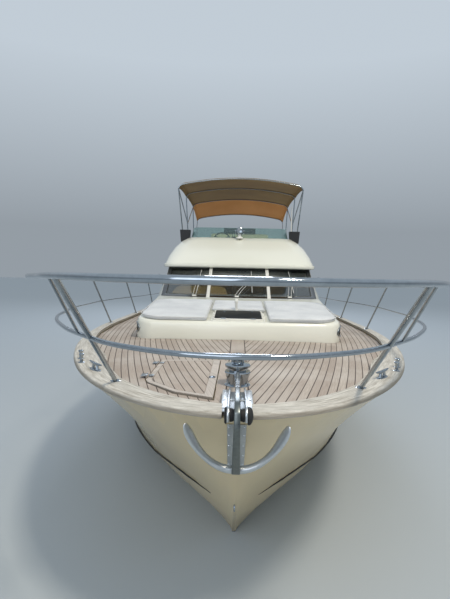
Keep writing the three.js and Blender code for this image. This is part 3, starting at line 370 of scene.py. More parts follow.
def dressed(node, material, edge, angle, body=HULL):
    """Copies a CAD node, merges its loose triangles, rounds its edges and stands in for it"""
    piece = bpy.data.objects.new(node + "_copy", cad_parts[node].data.copy())
    bpy.context.scene.collection.objects.link(piece)
    edit(piece)
    bpy.ops.mesh.remove_doubles(threshold=2e-5)
    bpy.ops.mesh.dissolve_limited(angle_limit=math.radians(0.6))
    close()
    if edge:
        rounded(piece, edge, 2, 40)
    return finished(node + "_shell", piece, material, node, body=body, angle=angle)


# Finishes


def linear(hex_colour):
    """Turns an sRGB hex colour into linear light"""
    shares = [int(hex_colour[i : i + 2], 16) / 255 for i in (0, 2, 4)]
    return [s / 12.92 if s <= 0.04045 else ((s + 0.055) / 1.055) ** 2.4 for s in shares] + [1.0]


def put(tree, kind, *values, **named):
    """Adds a node, with its operation after its kind, and gives back its first output.

    values go to its first inputs and names with a capital to the input of that name, each of them a number,
    an sRGB hex colour or another node's socket. Names without a capital are the node's own fields.
    """
    kind, _, operation = kind.partition(" ")
    node = tree.nodes.new("ShaderNode" + kind)
    if operation:
        node.operation = operation
    inputs = dict(enumerate(values))
    for key, value in named.items():
        if key[0].isupper():
            inputs[key.replace("_", " ")] = value
        else:
            setattr(node, key, value)
    for key, value in inputs.items():
        if isinstance(value, bpy.types.NodeSocket):
            tree.links.new(value, node.inputs[key])
        else:
            node.inputs[key].default_value = linear(value) if isinstance(value, str) else value
    return node.outputs[0]


def started(name, colour, roughness, **sockets):
    """Starts a material with constants on its shader, and gives its tree, shader and coordinates too"""
    material = bpy.data.materials.new(name)
    material.use_nodes = True
    tree = material.node_tree
    shader = tree.nodes["Principled BSDF"]
    shader.inputs["Base Color"].default_value = linear(colour)
    shader.inputs["Roughness"].default_value = roughness
    for key, value in sockets.items():
        shader.inputs[key.replace("_", " ")].default_value = value
    return material, tree, shader, put(tree, "TexCoord").node.outputs["Object"]


def linked(tree, shader, colour=None, roughness=None, height=None, depth=0.001, strength=1.0):
    """Links colour, roughness and a bump of a depth in metres into the shader"""
    if colour:
        tree.links.new(colour, shader.inputs["Base Color"])
    if roughness:
        tree.links.new(roughness, shader.inputs["Roughness"])
    if height:
        bump = put(tree, "Bump", Strength=strength, Distance=depth, Height=height)
        tree.links.new(bump, shader.inputs["Normal"])


def blended(material, share, other):
    """Mixes a second shader into a material by a share"""
    tree = material.node_tree
    mixed = put(tree, "MixShader", share, tree.nodes["Principled BSDF"].outputs[0], other)
    tree.links.new(mixed, tree.nodes["Material Output"].inputs["Surface"])


def speckled(name, dark, light, rough, scale, depth, stretch=(1, 1, 1), **sockets):
    """A finish whose tone, gloss and surface vary with one noise of a scale per metre"""
    material, tree, shader, place = started(name, light, rough[0], **sockets)
    spread = put(tree, "Mapping", place, Scale=stretch)
    noise = put(tree, "TexNoise", spread, Scale=scale, Detail=5.0, Roughness=0.6)
    colour = put(tree, "MixRGB", noise, dark, light)
    linked(tree, shader, colour, put(tree, "MapRange", noise, To_Min=rough[0], To_Max=rough[1]), noise, depth)
    return material


# The white lining lies within this half width, between these ends and above this height
LINER_HALF = 1.72
LINER_ENDS = (-1.95, 6.04)
LINER_LOW = 0.86
WATERLINE_FADE = 0.012


def make_gelcoat(name, shade, light, below=None):
    """Sprayed polyester gelcoat: glossy and even, with a faint ripple of the mould and thin sun fading.
    The hull's has a colour below the waterline, and the white lining inside"""
    material, tree, shader, place = started(name, light, 0.2, Coat_Weight=0.3, Coat_Roughness=0.1)
    broad = put(tree, "TexNoise", place, Scale=0.5, Detail=3.0, Roughness=0.45)
    ripple = put(tree, "TexNoise", place, Scale=3.0, Detail=2.0)
    colour = put(tree, "MixRGB", put(tree, "MapRange", broad, 0.3, 0.7), shade, light)
    gloss = put(tree, "MapRange", broad, To_Min=0.16, To_Max=0.3)
    if below:
        x, y, z = put(tree, "SeparateXYZ", place).node.outputs
        wet = put(tree, "MapRange", z, 0.0, WATERLINE_FADE)
        colour = put(tree, "MixRGB", wet, below, colour)
        gloss = put(tree, "MixRGB", wet, (0.7, 0.7, 0.7, 1), gloss)
        ahead, aft = LINER_ENDS
        within = put(tree, "Math LESS_THAN", put(tree, "Math ABSOLUTE", x), LINER_HALF)
        for axis, side, limit in ((y, "GREATER", ahead), (y, "LESS", aft), (z, "GREATER", LINER_LOW)):
            within = put(tree, "Math MULTIPLY", within, put(tree, "Math %s_THAN" % side, axis, limit))
        colour = put(tree, "MixRGB", within, colour, "dfded1")
    linked(tree, shader, colour, gloss, ripple, 0.0008, 0.3)
    return material


PLANK = 0.067
PLANK_LENGTH = 2.2
SEAM = 0.0075
BEND_START = 0.5
# A plain plank runs beside the king plank, from here forward
MARGIN_START = -5.545
MARGIN = 0.082


def make_teak(name, curved, tones, seam_colour="3c2f26", king=0.085, plank=PLANK):
    """Scrubbed teak planks with black caulking, leaning out from the centreline where they are curved"""
    material, tree, shader, place = started(name, tones[1], 0.75)
    x, y, _ = put(tree, "SeparateXYZ", place).node.outputs
    side = put(tree, "Math ABSOLUTE", x)
    across = side
    if curved:
        ahead = put(tree, "Math MINIMUM", put(tree, "Math SUBTRACT", y, BEND_START), 0.0)
        across = put(tree, "Math MULTIPLY_ADD", put(tree, "Math MULTIPLY", ahead, ahead), curved, side)
    count = put(tree, "Math MULTIPLY", across, 1 / plank)
    index = put(tree, "Math FLOOR", count)
    off = put(tree, "Math SUBTRACT", put(tree, "Math FRACT", count), 0.5)
    edge = 0.5 - SEAM / plank / 2
    seam = put(tree, "MapRange", put(tree, "Math ABSOLUTE", off), edge - 0.025, edge + 0.02)
    shift = put(tree, "Math MULTIPLY_ADD", index, 0.73, y)
    length = put(tree, "Math FLOOR", put(tree, "Math MULTIPLY", shift, 1 / PLANK_LENGTH))
    if king:
        forward = put(tree, "Math LESS_THAN", y, MARGIN_START)
        by_lid = put(tree, "Math MULTIPLY", forward, put(tree, "Math LESS_THAN", x, 0.0))
        outside = put(tree, "Math GREATER_THAN", side, put(tree, "Math MULTIPLY_ADD", by_lid, MARGIN, king))
        seam = put(tree, "Math MULTIPLY", seam, outside)
        index = put(tree, "Math MULTIPLY", index, outside)
        rim = put(tree, "Math ABSOLUTE", put(tree, "Math SUBTRACT", side, king))
        seam = put(tree, "Math MAXIMUM", seam, put(tree, "MapRange", rim, SEAM / 2, SEAM, 1, 0))
    key = put(tree, "CombineXYZ", index, put(tree, "Math SIGN", x), length)
    chance = put(tree, "TexWhiteNoise", key, noise_dimensions="3D")
    lengthwise = put(tree, "CombineXYZ", across, put(tree, "Math MULTIPLY", y, 0.035), chance)
    grain = put(tree, "TexNoise", lengthwise, Scale=160.0, Detail=4.0, Roughness=0.7)
    patch = put(tree, "TexNoise", place, Scale=1.6, Detail=3.0)
    colour = put(tree, "MixRGB", chance, tones[0], tones[1])
    colour = put(tree, "MixRGB", put(tree, "MapRange", grain, 0.35, 0.7, 0.0, 0.75), colour, tones[2])
    colour = put(tree, "MixRGB", put(tree, "MapRange", patch, 0.45, 0.75, 0.0, 0.5), colour, tones[3])
    colour = put(tree, "MixRGB", seam, colour, seam_colour)
    height = put(tree, "Math MULTIPLY_ADD", grain, 0.25, put(tree, "Math MULTIPLY_ADD", seam, -1.0, 1.0))
    linked(tree, shader, colour, None, height, 0.0012, 0.7)
    return material


def make_board(name, dark, light, grey):
    """Bleached teak board, with painted shade on its sides, whose grain follows the piece's own UV map in
    metres
    """
    material, tree, shader, _ = started(name, light, 0.7)
    flat = put(tree, "TexCoord").node.outputs["UV"]
    spread = put(tree, "Mapping", flat, Scale=(55.0, 2.2, 1.0))
    grain = put(tree, "TexNoise", spread, Scale=1.0, Detail=6.0, Roughness=0.7)
    patch = put(tree, "TexNoise", put(tree, "Mapping", flat, Scale=(9.0, 1.1, 1.0)), Scale=1.0, Detail=4.0)
    colour = put(tree, "MixRGB", put(tree, "MapRange", grain, 0.36, 0.64), dark, light)
    colour = put(tree, "MixRGB", put(tree, "MapRange", patch, 0.42, 0.68, To_Max=0.45), colour, grey)
    # Painted shade: faces that turn away from up are mixed toward a dark brown, darkest where they face
    # sideways
    painted_shade_tilt = put(tree, "SeparateXYZ", put(tree, "NewGeometry").node.outputs["Normal"]).node.outputs["Z"]
    colour = put(tree, "MixRGB", put(tree, "MapRange", painted_shade_tilt, 0.25, 0.85, 0.62, 0.0), colour, "6d6352")
    linked(tree, shader, colour, None, grain, 0.0008, 0.6)
    return material


THREAD = 0.004


def make_cloth(name, dark, light):
    """Woven cloth: two sets of threads at right angles, drawn as coarse as they need to show"""
    material, tree, shader, place = started(name, light, 0.88, Sheen_Weight=0.3, Sheen_Roughness=0.5)
    threads = {"Scale": 0.5 / THREAD, "Distortion": 1.2, "Detail": 2.0, "Detail_Scale": 2.0}
    waves = [put(tree, "TexWave", place, bands_direction=axis, **threads) for axis in "XY"]
    weave = put(tree, "Math MULTIPLY", *waves)
    tone = put(tree, "Math MULTIPLY_ADD", weave, 0.35, put(tree, "TexNoise", place, Scale=3.5, Detail=5.0))
    colour = put(tree, "MixRGB", put(tree, "MapRange", tone, 0.35, 0.85), dark, light)
    crease = put(tree, "TexNoise", place, Scale=9.0, Detail=3.0, Distortion=1.5)
    linked(tree, shader, colour, None, put(tree, "Math MULTIPLY_ADD", crease, 6.0, weave), 0.0005, 0.8)
    return material


def make_awning_cloth():
    """Acrylic awning canvas: khaki over the bows and a brighter tan in the aft panel, partly the panel's own
    colour and partly painted sunlight glowing through, with a translucent share of real light too
    """
    material, tree, shader, place = started("awning_acrylic_canvas", "8a7350", 0.9, Sheen_Weight=0.2)
    aft = put(tree, "MapRange", put(tree, "SeparateXYZ", place).node.outputs["Y"], 3.80, 3.83)
    broad = put(tree, "TexNoise", place, Scale=1.5, Detail=4.0)
    # The aft panel's brighter tan is partly its own colour and partly painted sunlight glowing through the
    # canvas
    khaki, tan = put(
        tree, "MixRGB", broad, "907342", "b5985f",
    ), put(tree, "MixRGB", broad, "cf9a56", "e6b878")
    colour = put(tree, "MixRGB", aft, khaki, tan)
    linked(tree, shader, colour, None, put(tree, "TexWave", place, Scale=160.0, Distortion=0.6), 0.0004, 0.5)
    blended(material, 0.35, put(tree, "BsdfTranslucent", colour))
    return material


def make_screen_frame():
    """Screen surround: black ceramic edge round the panes, with the two leaning mullions in white paint"""
    material, tree, shader, place = started("screen_surround", "15171b", 0.12, Coat_Weight=0.4)
    x, _, z = put(tree, "SeparateXYZ", place).node.outputs
    upright = put(tree, "Math MULTIPLY_ADD", z, -0.0566, put(tree, "Math ABSOLUTE", x))
    off = put(tree, "Math ABSOLUTE", put(tree, "Math SUBTRACT", upright, 0.4216))
    noise = put(tree, "TexNoise", place, Scale=6.0, Detail=3.0)
    dark = put(tree, "MixRGB", noise, "0e1014", "20242a")
    colour = put(tree, "MixRGB", put(tree, "MapRange", off, 0.031, 0.033, 1.0, 0.0), dark, "e9e7de")
    linked(tree, shader, colour, None, noise, 0.0003, 0.3)
    return material


def make_glass(name, tint, clear, rough, lamp_tint=None, **sockets):
    """Toughened or acrylic sheet: clear inside its tint, with a thin film of salt.
    A lamp tint lets lamps light what is behind"""
    material, tree, shader, place = started(name, tint, rough, Transmission_Weight=clear, IOR=1.5, **sockets)
    film = put(tree, "TexNoise", place, Scale=5.0, Detail=4.0)
    linked(tree, shader, None, put(tree, "MapRange", film, 0.4, 0.8, rough, rough + 0.08))
    if lamp_tint:
        from_lamp = put(tree, "LightPath").node.outputs["Is Shadow Ray"]
        blended(material, from_lamp, put(tree, "BsdfTransparent", lamp_tint))
    return material


BEND = 0.0207
METAL = {"Metallic": 1.0}
hull_gelcoat = make_gelcoat("hull_gelcoat", "d3bf96", "ddcaa2", below="22405c")
deck_gelcoat = make_gelcoat("deck_gelcoat", "dddccd", "e6e5d9")
teak_deck = make_teak("scrubbed_teak_deck", BEND, ("a89b8f", "bdb2a6", "8d7f72", "c9c3bb"))
teak_lid = make_teak("scrubbed_teak_lid", BEND, ("ab9e92", "bcb1a5", "918376", "cac4bc"))
teak_straight = make_teak("teak_strips", 0.0, ("a8927a", "b9a389", "8c7660", "cbbaa4"), king=0, plank=0.055)
cabin_tones = ("6e4527", "7f5230", "55331b", "8c5e39")
dark_floor = make_teak("varnished_cabin_sole", 0.0, cabin_tones, "d8c9a8", king=0, plank=0.09)
teak_board = make_board("bleached_teak_board", "918a7d", "d2cec4", "c3c1ba")
teak_lid_board = make_board("weathered_teak_border", "a1968b", "c3bab0", "b8b2aa")
ladder_teak = make_board("oiled_teak", "8a6744", "b38a60", "a98a68")
# Stainless steel, bent as tube and mirror polished: bright, with hairlines and faint water marks
polished_steel = speckled("polished_stainless_steel", "8d969d", "b4bbc1", (0.06, 0.16), 22.0, 0.0001, **METAL)
# Stainless steel, brushed along its length
brushed = {"stretch": (1, 0.1, 1), "Metallic": 1.0}
brushed_steel = speckled("brushed_stainless_steel", "8b9093", "adb2b5", (0.22, 0.38), 60.0, 0.0002, **brushed)
# Stainless steel, blasted to a pale satin
satin_steel = speckled("satin_stainless_steel", "b3b8bb", "d6d9da", (0.3, 0.46), 40.0, 0.0003, **METAL)
# Steel darkened as a painted reflection of dark surroundings, for the anchor's shank
shank_steel_painted_dark = speckled("steel_with_painted_dark_reflection", "5c6160", "868c8a", (0.22, 0.4), 30.0, 0.0004, **METAL)
bronze = speckled("cast_bronze", "6b4a22", "a3763c", (0.3, 0.5), 35.0, 0.0006, **METAL)
white_paint = speckled("white_two_part_paint", "dcdad0", "f0eee6", (0.22, 0.34), 7.0, 0.0002, Coat_Weight=0.3)
black_plastic = speckled("moulded_black_plastic", "111214", "232528", (0.4, 0.6), 45.0, 0.0003)
black_rubber = speckled("black_rubber", "141414", "2a2a2a", (0.55, 0.8), 50.0, 0.0005)
engine_enamel = speckled("grey_engine_enamel", "5d6266", "878c90", (0.35, 0.6), 12.0, 0.0006)
navy_vinyl = speckled("navy_marine_vinyl", "1c2433", "2e3a4e", (0.4, 0.55), 80.0, 0.0004)
tan_vinyl = speckled("tan_dashboard_vinyl", "b08a52", "cda868", (0.4, 0.55), 70.0, 0.0005)
beige_vinyl = speckled("beige_marine_vinyl", "c5b58e", "dccfae", (0.38, 0.55), 70.0, 0.0005, Sheen_Weight=0.1)
pad_cloth = make_cloth("light_grey_outdoor_cloth", "bfc1c2", "dddedd")
sofa_cloth = make_cloth("cream_outdoor_cloth", "c9c2b0", "e2dccb")
awning_cloth = make_awning_cloth()
screen_surround = make_screen_frame()
dark_glass = make_glass("dark_tinted_glass", "2a3136", 0.8, 0.02, "6a7076")
screen_glass = make_glass("windscreen_glass", "a9b2b2", 0.97, 0.01, "c8cccc")
hatch_glass = make_glass("smoked_hatch_acrylic", "0c0e10", 0.3, 0.4, Specular_IOR_Level=0.08)
acrylic = make_glass("blue_green_acrylic", "adcac6", 0.92, 0.03)
lamp_glass = make_glass("clear_lamp_glass", "e8eef0", 0.9, 0.02)
red_lens = make_glass("red_lens", "b01414", 0.4, 0.08)
green_lens = make_glass("green_lens", "0c8a4a", 0.4, 0.08)

# The slot that each finish of a scene piece belongs to
SLOTS = {
    "gelcoat": (hull_gelcoat, deck_gelcoat),
    "teak": (teak_lid, teak_straight, dark_floor, teak_board, teak_lid_board, ladder_teak),
    "steel": (polished_steel, brushed_steel, satin_steel, shank_steel_painted_dark),
    "white_frame": (white_paint, screen_surround),
    "black_plastic": (black_plastic, black_rubber),
    "upholstery": (navy_vinyl, tan_vinyl, beige_vinyl),
    "cushion": (pad_cloth, sofa_cloth),
    "canvas": (awning_cloth,),
    "tinted_glass": (dark_glass, hatch_glass, red_lens, green_lens),
    "clear_tint": (acrylic, lamp_glass),
}
SLOT_OF = {finish.name: slot for slot, finishes in SLOTS.items() for finish in finishes}

# Form of the hull, in metres, as the solids have it
STEM_Y = -7.3
HULL_LENGTH = 13.6
HALF_BEAM = 2.2
BOW_LENGTH = 5.0
BOW_POWER = 0.515
# The covering board falls from its height at the stem by a share of the way aft
CAP_BOW = 1.9
CAP_FALL = 0.012
CAP_OVERHANG = 0.014
CAP_THICK = 0.038
TRUNK_FRONT = -4.185
TRUNK_LOW = 2.085
TRUNK_RISE = 0.185
TRUNK_RUN = 2.135
# Each side comes in by QUARTER_IN from QUARTER_START, a distance aft of the stem, to the transom
QUARTER_START = 8.5
QUARTER_IN = 0.15
# The stem leans forward by STEM_RAKE up to the sheer
STEM_RAKE = 1.87
SHEER_TOP = 1.86165
SHEER_DROP = 0.03835
CHINE_HIGH = 0.4
CHINE_FALL = 0.31
CHINE_HALF = 1.9
CHINE_BOW = 4.5


def cap_top(y):
    """Height of the covering board"""
    return CAP_BOW - CAP_FALL * (y - STEM_Y)


def sheer_half(d):
    """Half width of the deck edge at a distance aft of the stem"""
    if d < BOW_LENGTH:
        return HALF_BEAM * max(0, 1 - (1 - d / BOW_LENGTH) ** 2) ** BOW_POWER
    aft = max(0, (d - QUARTER_START) / (HULL_LENGTH - QUARTER_START))
    return HALF_BEAM - QUARTER_IN * aft * aft


def deck_edge(t, inset):
    """Point on the deck edge, moved in. t is 0 at the stem, 1 at the end of the bow and 2 at the transom"""
    if t > 1:
        y = STEM_Y + BOW_LENGTH + (t - 1) * (HULL_LENGTH - BOW_LENGTH)
        return sheer_half(y - STEM_Y) - inset, y
    angle = math.pi / 2 * t
    x = HALF_BEAM * math.sin(angle) ** (2 * BOW_POWER)
    y = STEM_Y + BOW_LENGTH * (1 - math.cos(angle))
    across, along = math.sin(angle) / HALF_BEAM, -math.cos(angle) / BOW_LENGTH
    length = math.hypot(across, along)
    return max(0.008, x - across / length * inset), y - along / length * inset


def trunk_top(y):
    """Height of the sloping trunk top"""
    return TRUNK_LOW + TRUNK_RISE * (y - TRUNK_FRONT) / TRUNK_RUN


def hull_half(y, z):
    """Half width of the topsides at a place along the hull and a height above the chine"""
    shift = STEM_RAKE * (1 - z / SHEER_TOP)
    share = max(0, (y - STEM_Y - shift) / (HULL_LENGTH - shift))
    chine_z = CHINE_HIGH - CHINE_FALL * max(0, (share - 0.2) / 0.8)
    chine_d = share * (HULL_LENGTH - STEM_RAKE * (1 - chine_z / SHEER_TOP))
    chine = max(0.02, CHINE_HALF * math.sin(math.pi / 2 * min(1, chine_d / CHINE_BOW)) ** 0.85)
    sheer = max(0.02, sheer_half(share * HULL_LENGTH))
    high = cap_top(STEM_Y + share * HULL_LENGTH) - SHEER_DROP
    rise = max(0, min(1, (z - chine_z) / (high - chine_z)))
    return chine + (sheer - chine) * rise ** (1 + 0.7 * max(0, 1 - share / 0.4))


# Mouldings: the solids with merged faces and rounded edges

# Columns are the node, its finish, the radius of its edges and the angle past which an edge is shaded sharp
MOULDINGS = (
    ("hull", hull_gelcoat, 0.0, 24),
    ("trunk_cabin", deck_gelcoat, 0.006, 30),
    ("deckhouse_front", deck_gelcoat, 0.0, 30),
    ("deckhouse_side_port", deck_gelcoat, 0.004, 30),
    ("deckhouse_side_starboard", deck_gelcoat, 0.004, 30),
    ("flybridge_floor", deck_gelcoat, 0.008, 30),
    ("flybridge_fairing", deck_gelcoat, 0.012, 40),
    ("aft_bulkhead", deck_gelcoat, 0.003, 30),
    ("flybridge_console", deck_gelcoat, 0.012, 30),
    ("saloon_helm", deck_gelcoat, 0.01, 30),
    ("swim_platform", deck_gelcoat, 0.01, 40),
    ("windscreen_frame", screen_surround, 0.003, 30),
    ("wind_deflector", acrylic, 0.0, 45),
    ("flybridge_ladder", ladder_teak, 0.004, 30),
    ("aerial", white_paint, 0.0, 40),
)
for node, material, edge, angle in MOULDINGS:
    dressed(node, material, edge, angle)
dressed("transom_gate", hull_gelcoat, 0.006, 20, "transom_gate")

# CAD nodes whose shape stays, with their finishes
KEPT = {
    "deck_teak": teak_deck,
    "engine_hatch": teak_straight,
    "saloon_door": dark_glass,
    "aft_window": dark_glass,
    "side_window_port": dark_glass,
    "side_window_starboard": dark_glass,
    "windscreen_port": screen_glass,
    "windscreen_centre": screen_glass,
    "windscreen_starboard": screen_glass,
    "engine_port": engine_enamel,
    "engine_starboard": engine_enamel,
    "shaft_bracket_port": bronze,
    "shaft_bracket_starboard": bronze,
    "propeller_port": bronze,
    "propeller_starboard": bronze,
    "rudder_port": bronze,
    "rudder_starboard": bronze,
    "side_light_port": black_plastic,
    "side_light_starboard": black_plastic,
}
for node, material in KEPT.items():
    coated(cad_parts[node], material)

# Covering boards, lofted along the deck edge with their own UV map for the grain
CAP_WIDTHS = (
    (0.0, 0.19), (0.6, 0.195), (1.2, 0.255), (1.7, 0.3), (2.2, 0.235), (2.7, 0.165), (3.8, 0.13),
    (6.0, 0.115), (13.6, 0.115),
)


# A board starts at this t of the deck edge, keeps this far from the centreline, and is this long
BOARD_START = 0.02
BOARD_GAP = 0.097
BOARD_LENGTH = 14.5


def cap_width(d):
    """Width of the covering board at a distance aft of the stem"""
    for (d0, w0), (d1, w1) in zip(CAP_WIDTHS, CAP_WIDTHS[1:]):
        if d <= d1:
            share = max(0, (d - d0) / (d1 - d0))
            return w0 + (w1 - w0) * share * share * (3 - 2 * share)
    return CAP_WIDTHS[-1][1]


def make_covering_board(side):
    """One board: an oblong section with a rounded outer edge, carried along the deck edge"""
    section = [(0, 0), (0, 0.3), (0.004, 0.75), (0.012, 0.94), (0.024, 1), (1, 1), (1, 0)]
    def place(u, v):
        t = BOARD_START + (2 - BOARD_START) * v if v > 0 else BOARD_START
        depth, height = section[round(u * len(section)) % len(section)]
        outer = deck_edge(t, -CAP_OVERHANG)
        width = cap_width(outer[1] - STEM_Y) + CAP_OVERHANG
        if depth == 1:
            x, y = deck_edge(t, width - CAP_OVERHANG)
        else:
            x, y = deck_edge(t, depth - CAP_OVERHANG)
        return side * max(x, BOARD_GAP), y, cap_top(outer[1]) - CAP_THICK + CAP_THICK * height

    board = sheet(len(section), 96, place)
    girth = (0, 0.011, 0.028, 0.036, 0.04, 0.24, 0.278, 0.48)
    for corner in board.data.uv_layers[0].data:
        corner.uv = (girth[round(corner.uv[0] * len(section))], corner.uv[1] * BOARD_LENGTH)
    return shut(board, MERGE)


for side, name in ((1, "port"), (-1, "starboard")):
    board = make_covering_board(side)
    finished("covering_board_%s_teak" % name, board, teak_board, "covering_board_" + name)

# Guard rails: polished tube from one quarter round the bow to the other, with a second rail below
TOP_RAIL = (
    (0, -1.1, 0.84), (0.5, -0.94, 0.84), (0.94, -0.52, 0.838), (1.31, 0.1, 0.826), (1.67, 0.75, 0.816),
    (1.94, 1.45, 0.812), (2.1, 2.6, 0.808), (2.15, 3.8, 0.806), (2.165, 5.2, 0.802), (2.165, 7.2, 0.796),
    (2.15, 9.0, 0.788), (2.14, 9.62, 0.765), (2.133, 9.83, 0.62), (2.127, 9.9, 0.35), (2.125, 9.9, 0.0),
)
MID_RAIL = (
    (0, -0.45, 0.437), (0.6, -0.25, 0.437), (1.08, 0.25, 0.437), (1.43, 0.8, 0.432), (1.7, 1.4, 0.428),
    (1.93, 2.3, 0.418), (2.02, 2.6, 0.412),
)
MID_WIRE = (
    (2.02, 2.6, 0.412), (2.09, 3.4, 0.404), (2.142, 4.3, 0.397), (2.152, 7.3, 0.328), (2.145, 9.885, 0.285),
)
TOP_TUBE = 0.018
STANCHIONS = (((2.14, 4.75), (2.148, 3.73)), ((2.15, 6.65), (2.165, 5.7)), ((2.14, 8.5), (2.158, 7.75)))


def rail_point(x, d, height):
    """Point at a half width, a distance aft of the stem and a height above the covering board"""
    return x, STEM_Y + d, cap_top(STEM_Y + d) + height


def whole_rail(rows):
    """Points of a rail from starboard round the bow to port"""
    half = [rail_point(*row) for row in rows]
    return [(-x, y, z) for x, y, z in reversed(half[1:])] + half


def foot_flange(x, y, z, radius=0.036):
    """Round welded base of a rail post, on the covering board"""
    profile = [
        (0, 0), (radius, 0), (radius, 0.004), (radius * 0.62, 0.009), (radius * 0.56, 0.014), (0, 0.014),
    ]
    return turned(profile, (x, y, z), steps=20)


def make_guard_rail():
    """All the tubes of the guard rail as one welded piece"""
    parts = [
        tube(whole_rail(rows), radius, steps=8, sides=4)
        for rows, radius in ((TOP_RAIL, TOP_TUBE), (MID_RAIL, 0.016))
    ]
    for side in (1, -1):
        foot = rail_point(side * 0.962, 0.73, 0.0)
        parts.append(tube([foot, rail_point(side * 0.93, -0.53, 0.836)], TOP_TUBE, sides=4))
        brace = [rail_point(side * 1.092, 0.262, 0.437), rail_point(side * 1.008, -0.42, 0.836)]
        parts.append(tube(brace, 0.011, sides=4))
        parts.append(foot_flange(*foot, 0.042))
        parts.append(tube([rail_point(side * x, d, h) for x, d, h in MID_WIRE], 0.009, steps=6))
        for (foot_x, foot_d), (head_x, head_d) in STANCHIONS:
            base = rail_point(side * foot_x, foot_d, 0.0)
            parts.append(tube([base, rail_point(side * head_x, head_d, 0.8)], 0.013, sides=4))
            parts.append(foot_flange(*base))
        parts.append(foot_flange(*rail_point(side * 2.125, 9.9, 0.0)))
    return joined(parts)


rails = ("bow_rail", "side_rail_port", "side_rail_starboard")
finished("guard_rail_tubes", make_guard_rail(), polished_steel, *rails, angle=50)

# Sun awning: four bent bows, six legs and braces on each side, and one canvas over them
AWNING_BOWS = ((0.7, 4.9, 1.47), (2.2, 4.93, 1.46), (3.8, 4.88, 1.44), (4.9, 4.56, 1.4))
BOW_TUBE = 0.014
BOW_DROP = 0.245
AWNING_SAG = 0.012
AWNING_SCALLOP = 0.03
# Feet of the legs on the deck, as x, y and z, and the knee that two legs spring from
FEET = ((1.4, 1.3, 3.41), (1.405, 2.45, 3.39), (1.39, 3.95, 3.3))
KNEE = (1.427, 2.338, 4.0)


def awning_drop(share):
    """Fall of a bow from its crown at a share of its half width"""
    return 0.167 * share**2 + 0.078 * share**40


def bow_at(y):
    """Crown height and half width of the awning at a place between its bows"""
    for (y0, z0, half0), (y1, z1, half1) in zip(AWNING_BOWS, AWNING_BOWS[1:]):
        if y <= y1 or y1 == AWNING_BOWS[-1][0]:
            share = (y - y0) / (y1 - y0)
            return z0 + (z1 - z0) * share, half0 + (half1 - half0) * share


def make_awning_tubes():
    """Bows, legs and deck fittings of the awning"""
    parts = []
    shares = [
        -1, -0.995, -0.985, -0.965, -0.93, -0.85, -0.6, -0.3, 0, 0.3, 0.6, 0.85, 0.93, 0.965, 0.985, 0.995,
        1,
    ]
    for y, z, half in AWNING_BOWS:
        parts.append(tube([(half * s, y, z - awning_drop(s)) for s in shares], BOW_TUBE, sides=3, steps=3))
    for side in (1, -1):
        ends = [(side * (half - 0.004), y, z - BOW_DROP - 0.01) for y, z, half in AWNING_BOWS]
        feet = [(side * x, y, z) for x, y, z in FEET]
        knee = (side * KNEE[0], KNEE[1], KNEE[2])
        legs = (
            (feet[1], ends[1]), (knee, ends[0]), (knee, ends[2]),
            (ends[0], feet[0]), (ends[3], feet[2]), (ends[2], feet[2]),
        )
        parts += [tube(leg, BOW_TUBE, sides=3) for leg in legs]
        post = [
            (0, -0.17), (0.02, -0.17), (0.02, -0.01), (0.026, -0.006), (0.026, 0.012), (0.016, 0.02),
            (0, 0.02),
        ]
        parts += [turned(post, foot, steps=20) for foot in feet]
        parts.append(turned([(0, -0.02), (0.02, -0.02), (0.02, 0.02), (0, 0.02)], knee, steps=16))
    return joined(parts)


finished("awning_tubes", make_awning_tubes(), polished_steel, "awning_frame", angle=50)


def make_awning():
    """The canvas: one sheet stretched over the bows, sagging a little between them"""
    y0, y1 = AWNING_BOWS[0][0], AWNING_BOWS[-1][0]

    def place(u, v):
        y = y0 + (y1 - y0) * v
        crown, half = bow_at(y)
        share = math.sin((u - 0.5) * math.pi) * 0.35 + (2 * u - 1) * 0.65
        gaps = [abs(y - bow[0]) for bow in AWNING_BOWS]
        sag = AWNING_SAG * min(1, min(gaps) / 0.4) * (1 - share**4)
        scallop = AWNING_SCALLOP * max(0, abs(share) - 0.93) / 0.07 * min(1, min(gaps) / 0.5)
        return half * share, y, crown - awning_drop(share) - sag + scallop + BOW_TUBE + 0.002

    return sheet(56, 84, place)


awning = make_awning()
modified(awning, "SOLIDIFY", thickness=0.002, offset=1)
finished("awning_cloth", awning, awning_cloth, "awning_canvas", angle=60)

# Sun pads on the trunk: stuffed, with a piped edge
PAD_TURN_FRONT = 0.34
PAD_TURN_AFT = 0.3
PAD_VOXEL = 0.016
PIPING = 0.0045
side_pad = (
    [(0.415, -4.125)]
    + arc(1.352 - PAD_TURN_FRONT, -4.125 + PAD_TURN_FRONT, PAD_TURN_FRONT, -90, 0, 12)
    + arc(1.352 - PAD_TURN_AFT, -2.62 - PAD_TURN_AFT, PAD_TURN_AFT, 0, 90, 10)
    + [(0.415, -2.62)]
)
centre_pad = [(-0.4, -3.41), (0.4, -3.41), (0.4, -2.62), (-0.4, -2.62)]


def distance_in(x, y, outline):
    """Distance from a place in plan to the nearest side of an outline"""
    best = 9.0
    for (x0, y0), (x1, y1) in zip(outline, outline[1:] + outline[:1]):
        dx, dy = x1 - x0, y1 - y0
        share = max(0, min(1, ((x - x0) * dx + (y - y0) * dy) / (dx * dx + dy * dy)))
        best = min(best, math.hypot(x - x0 - share * dx, y - y0 - share * dy))
    return best


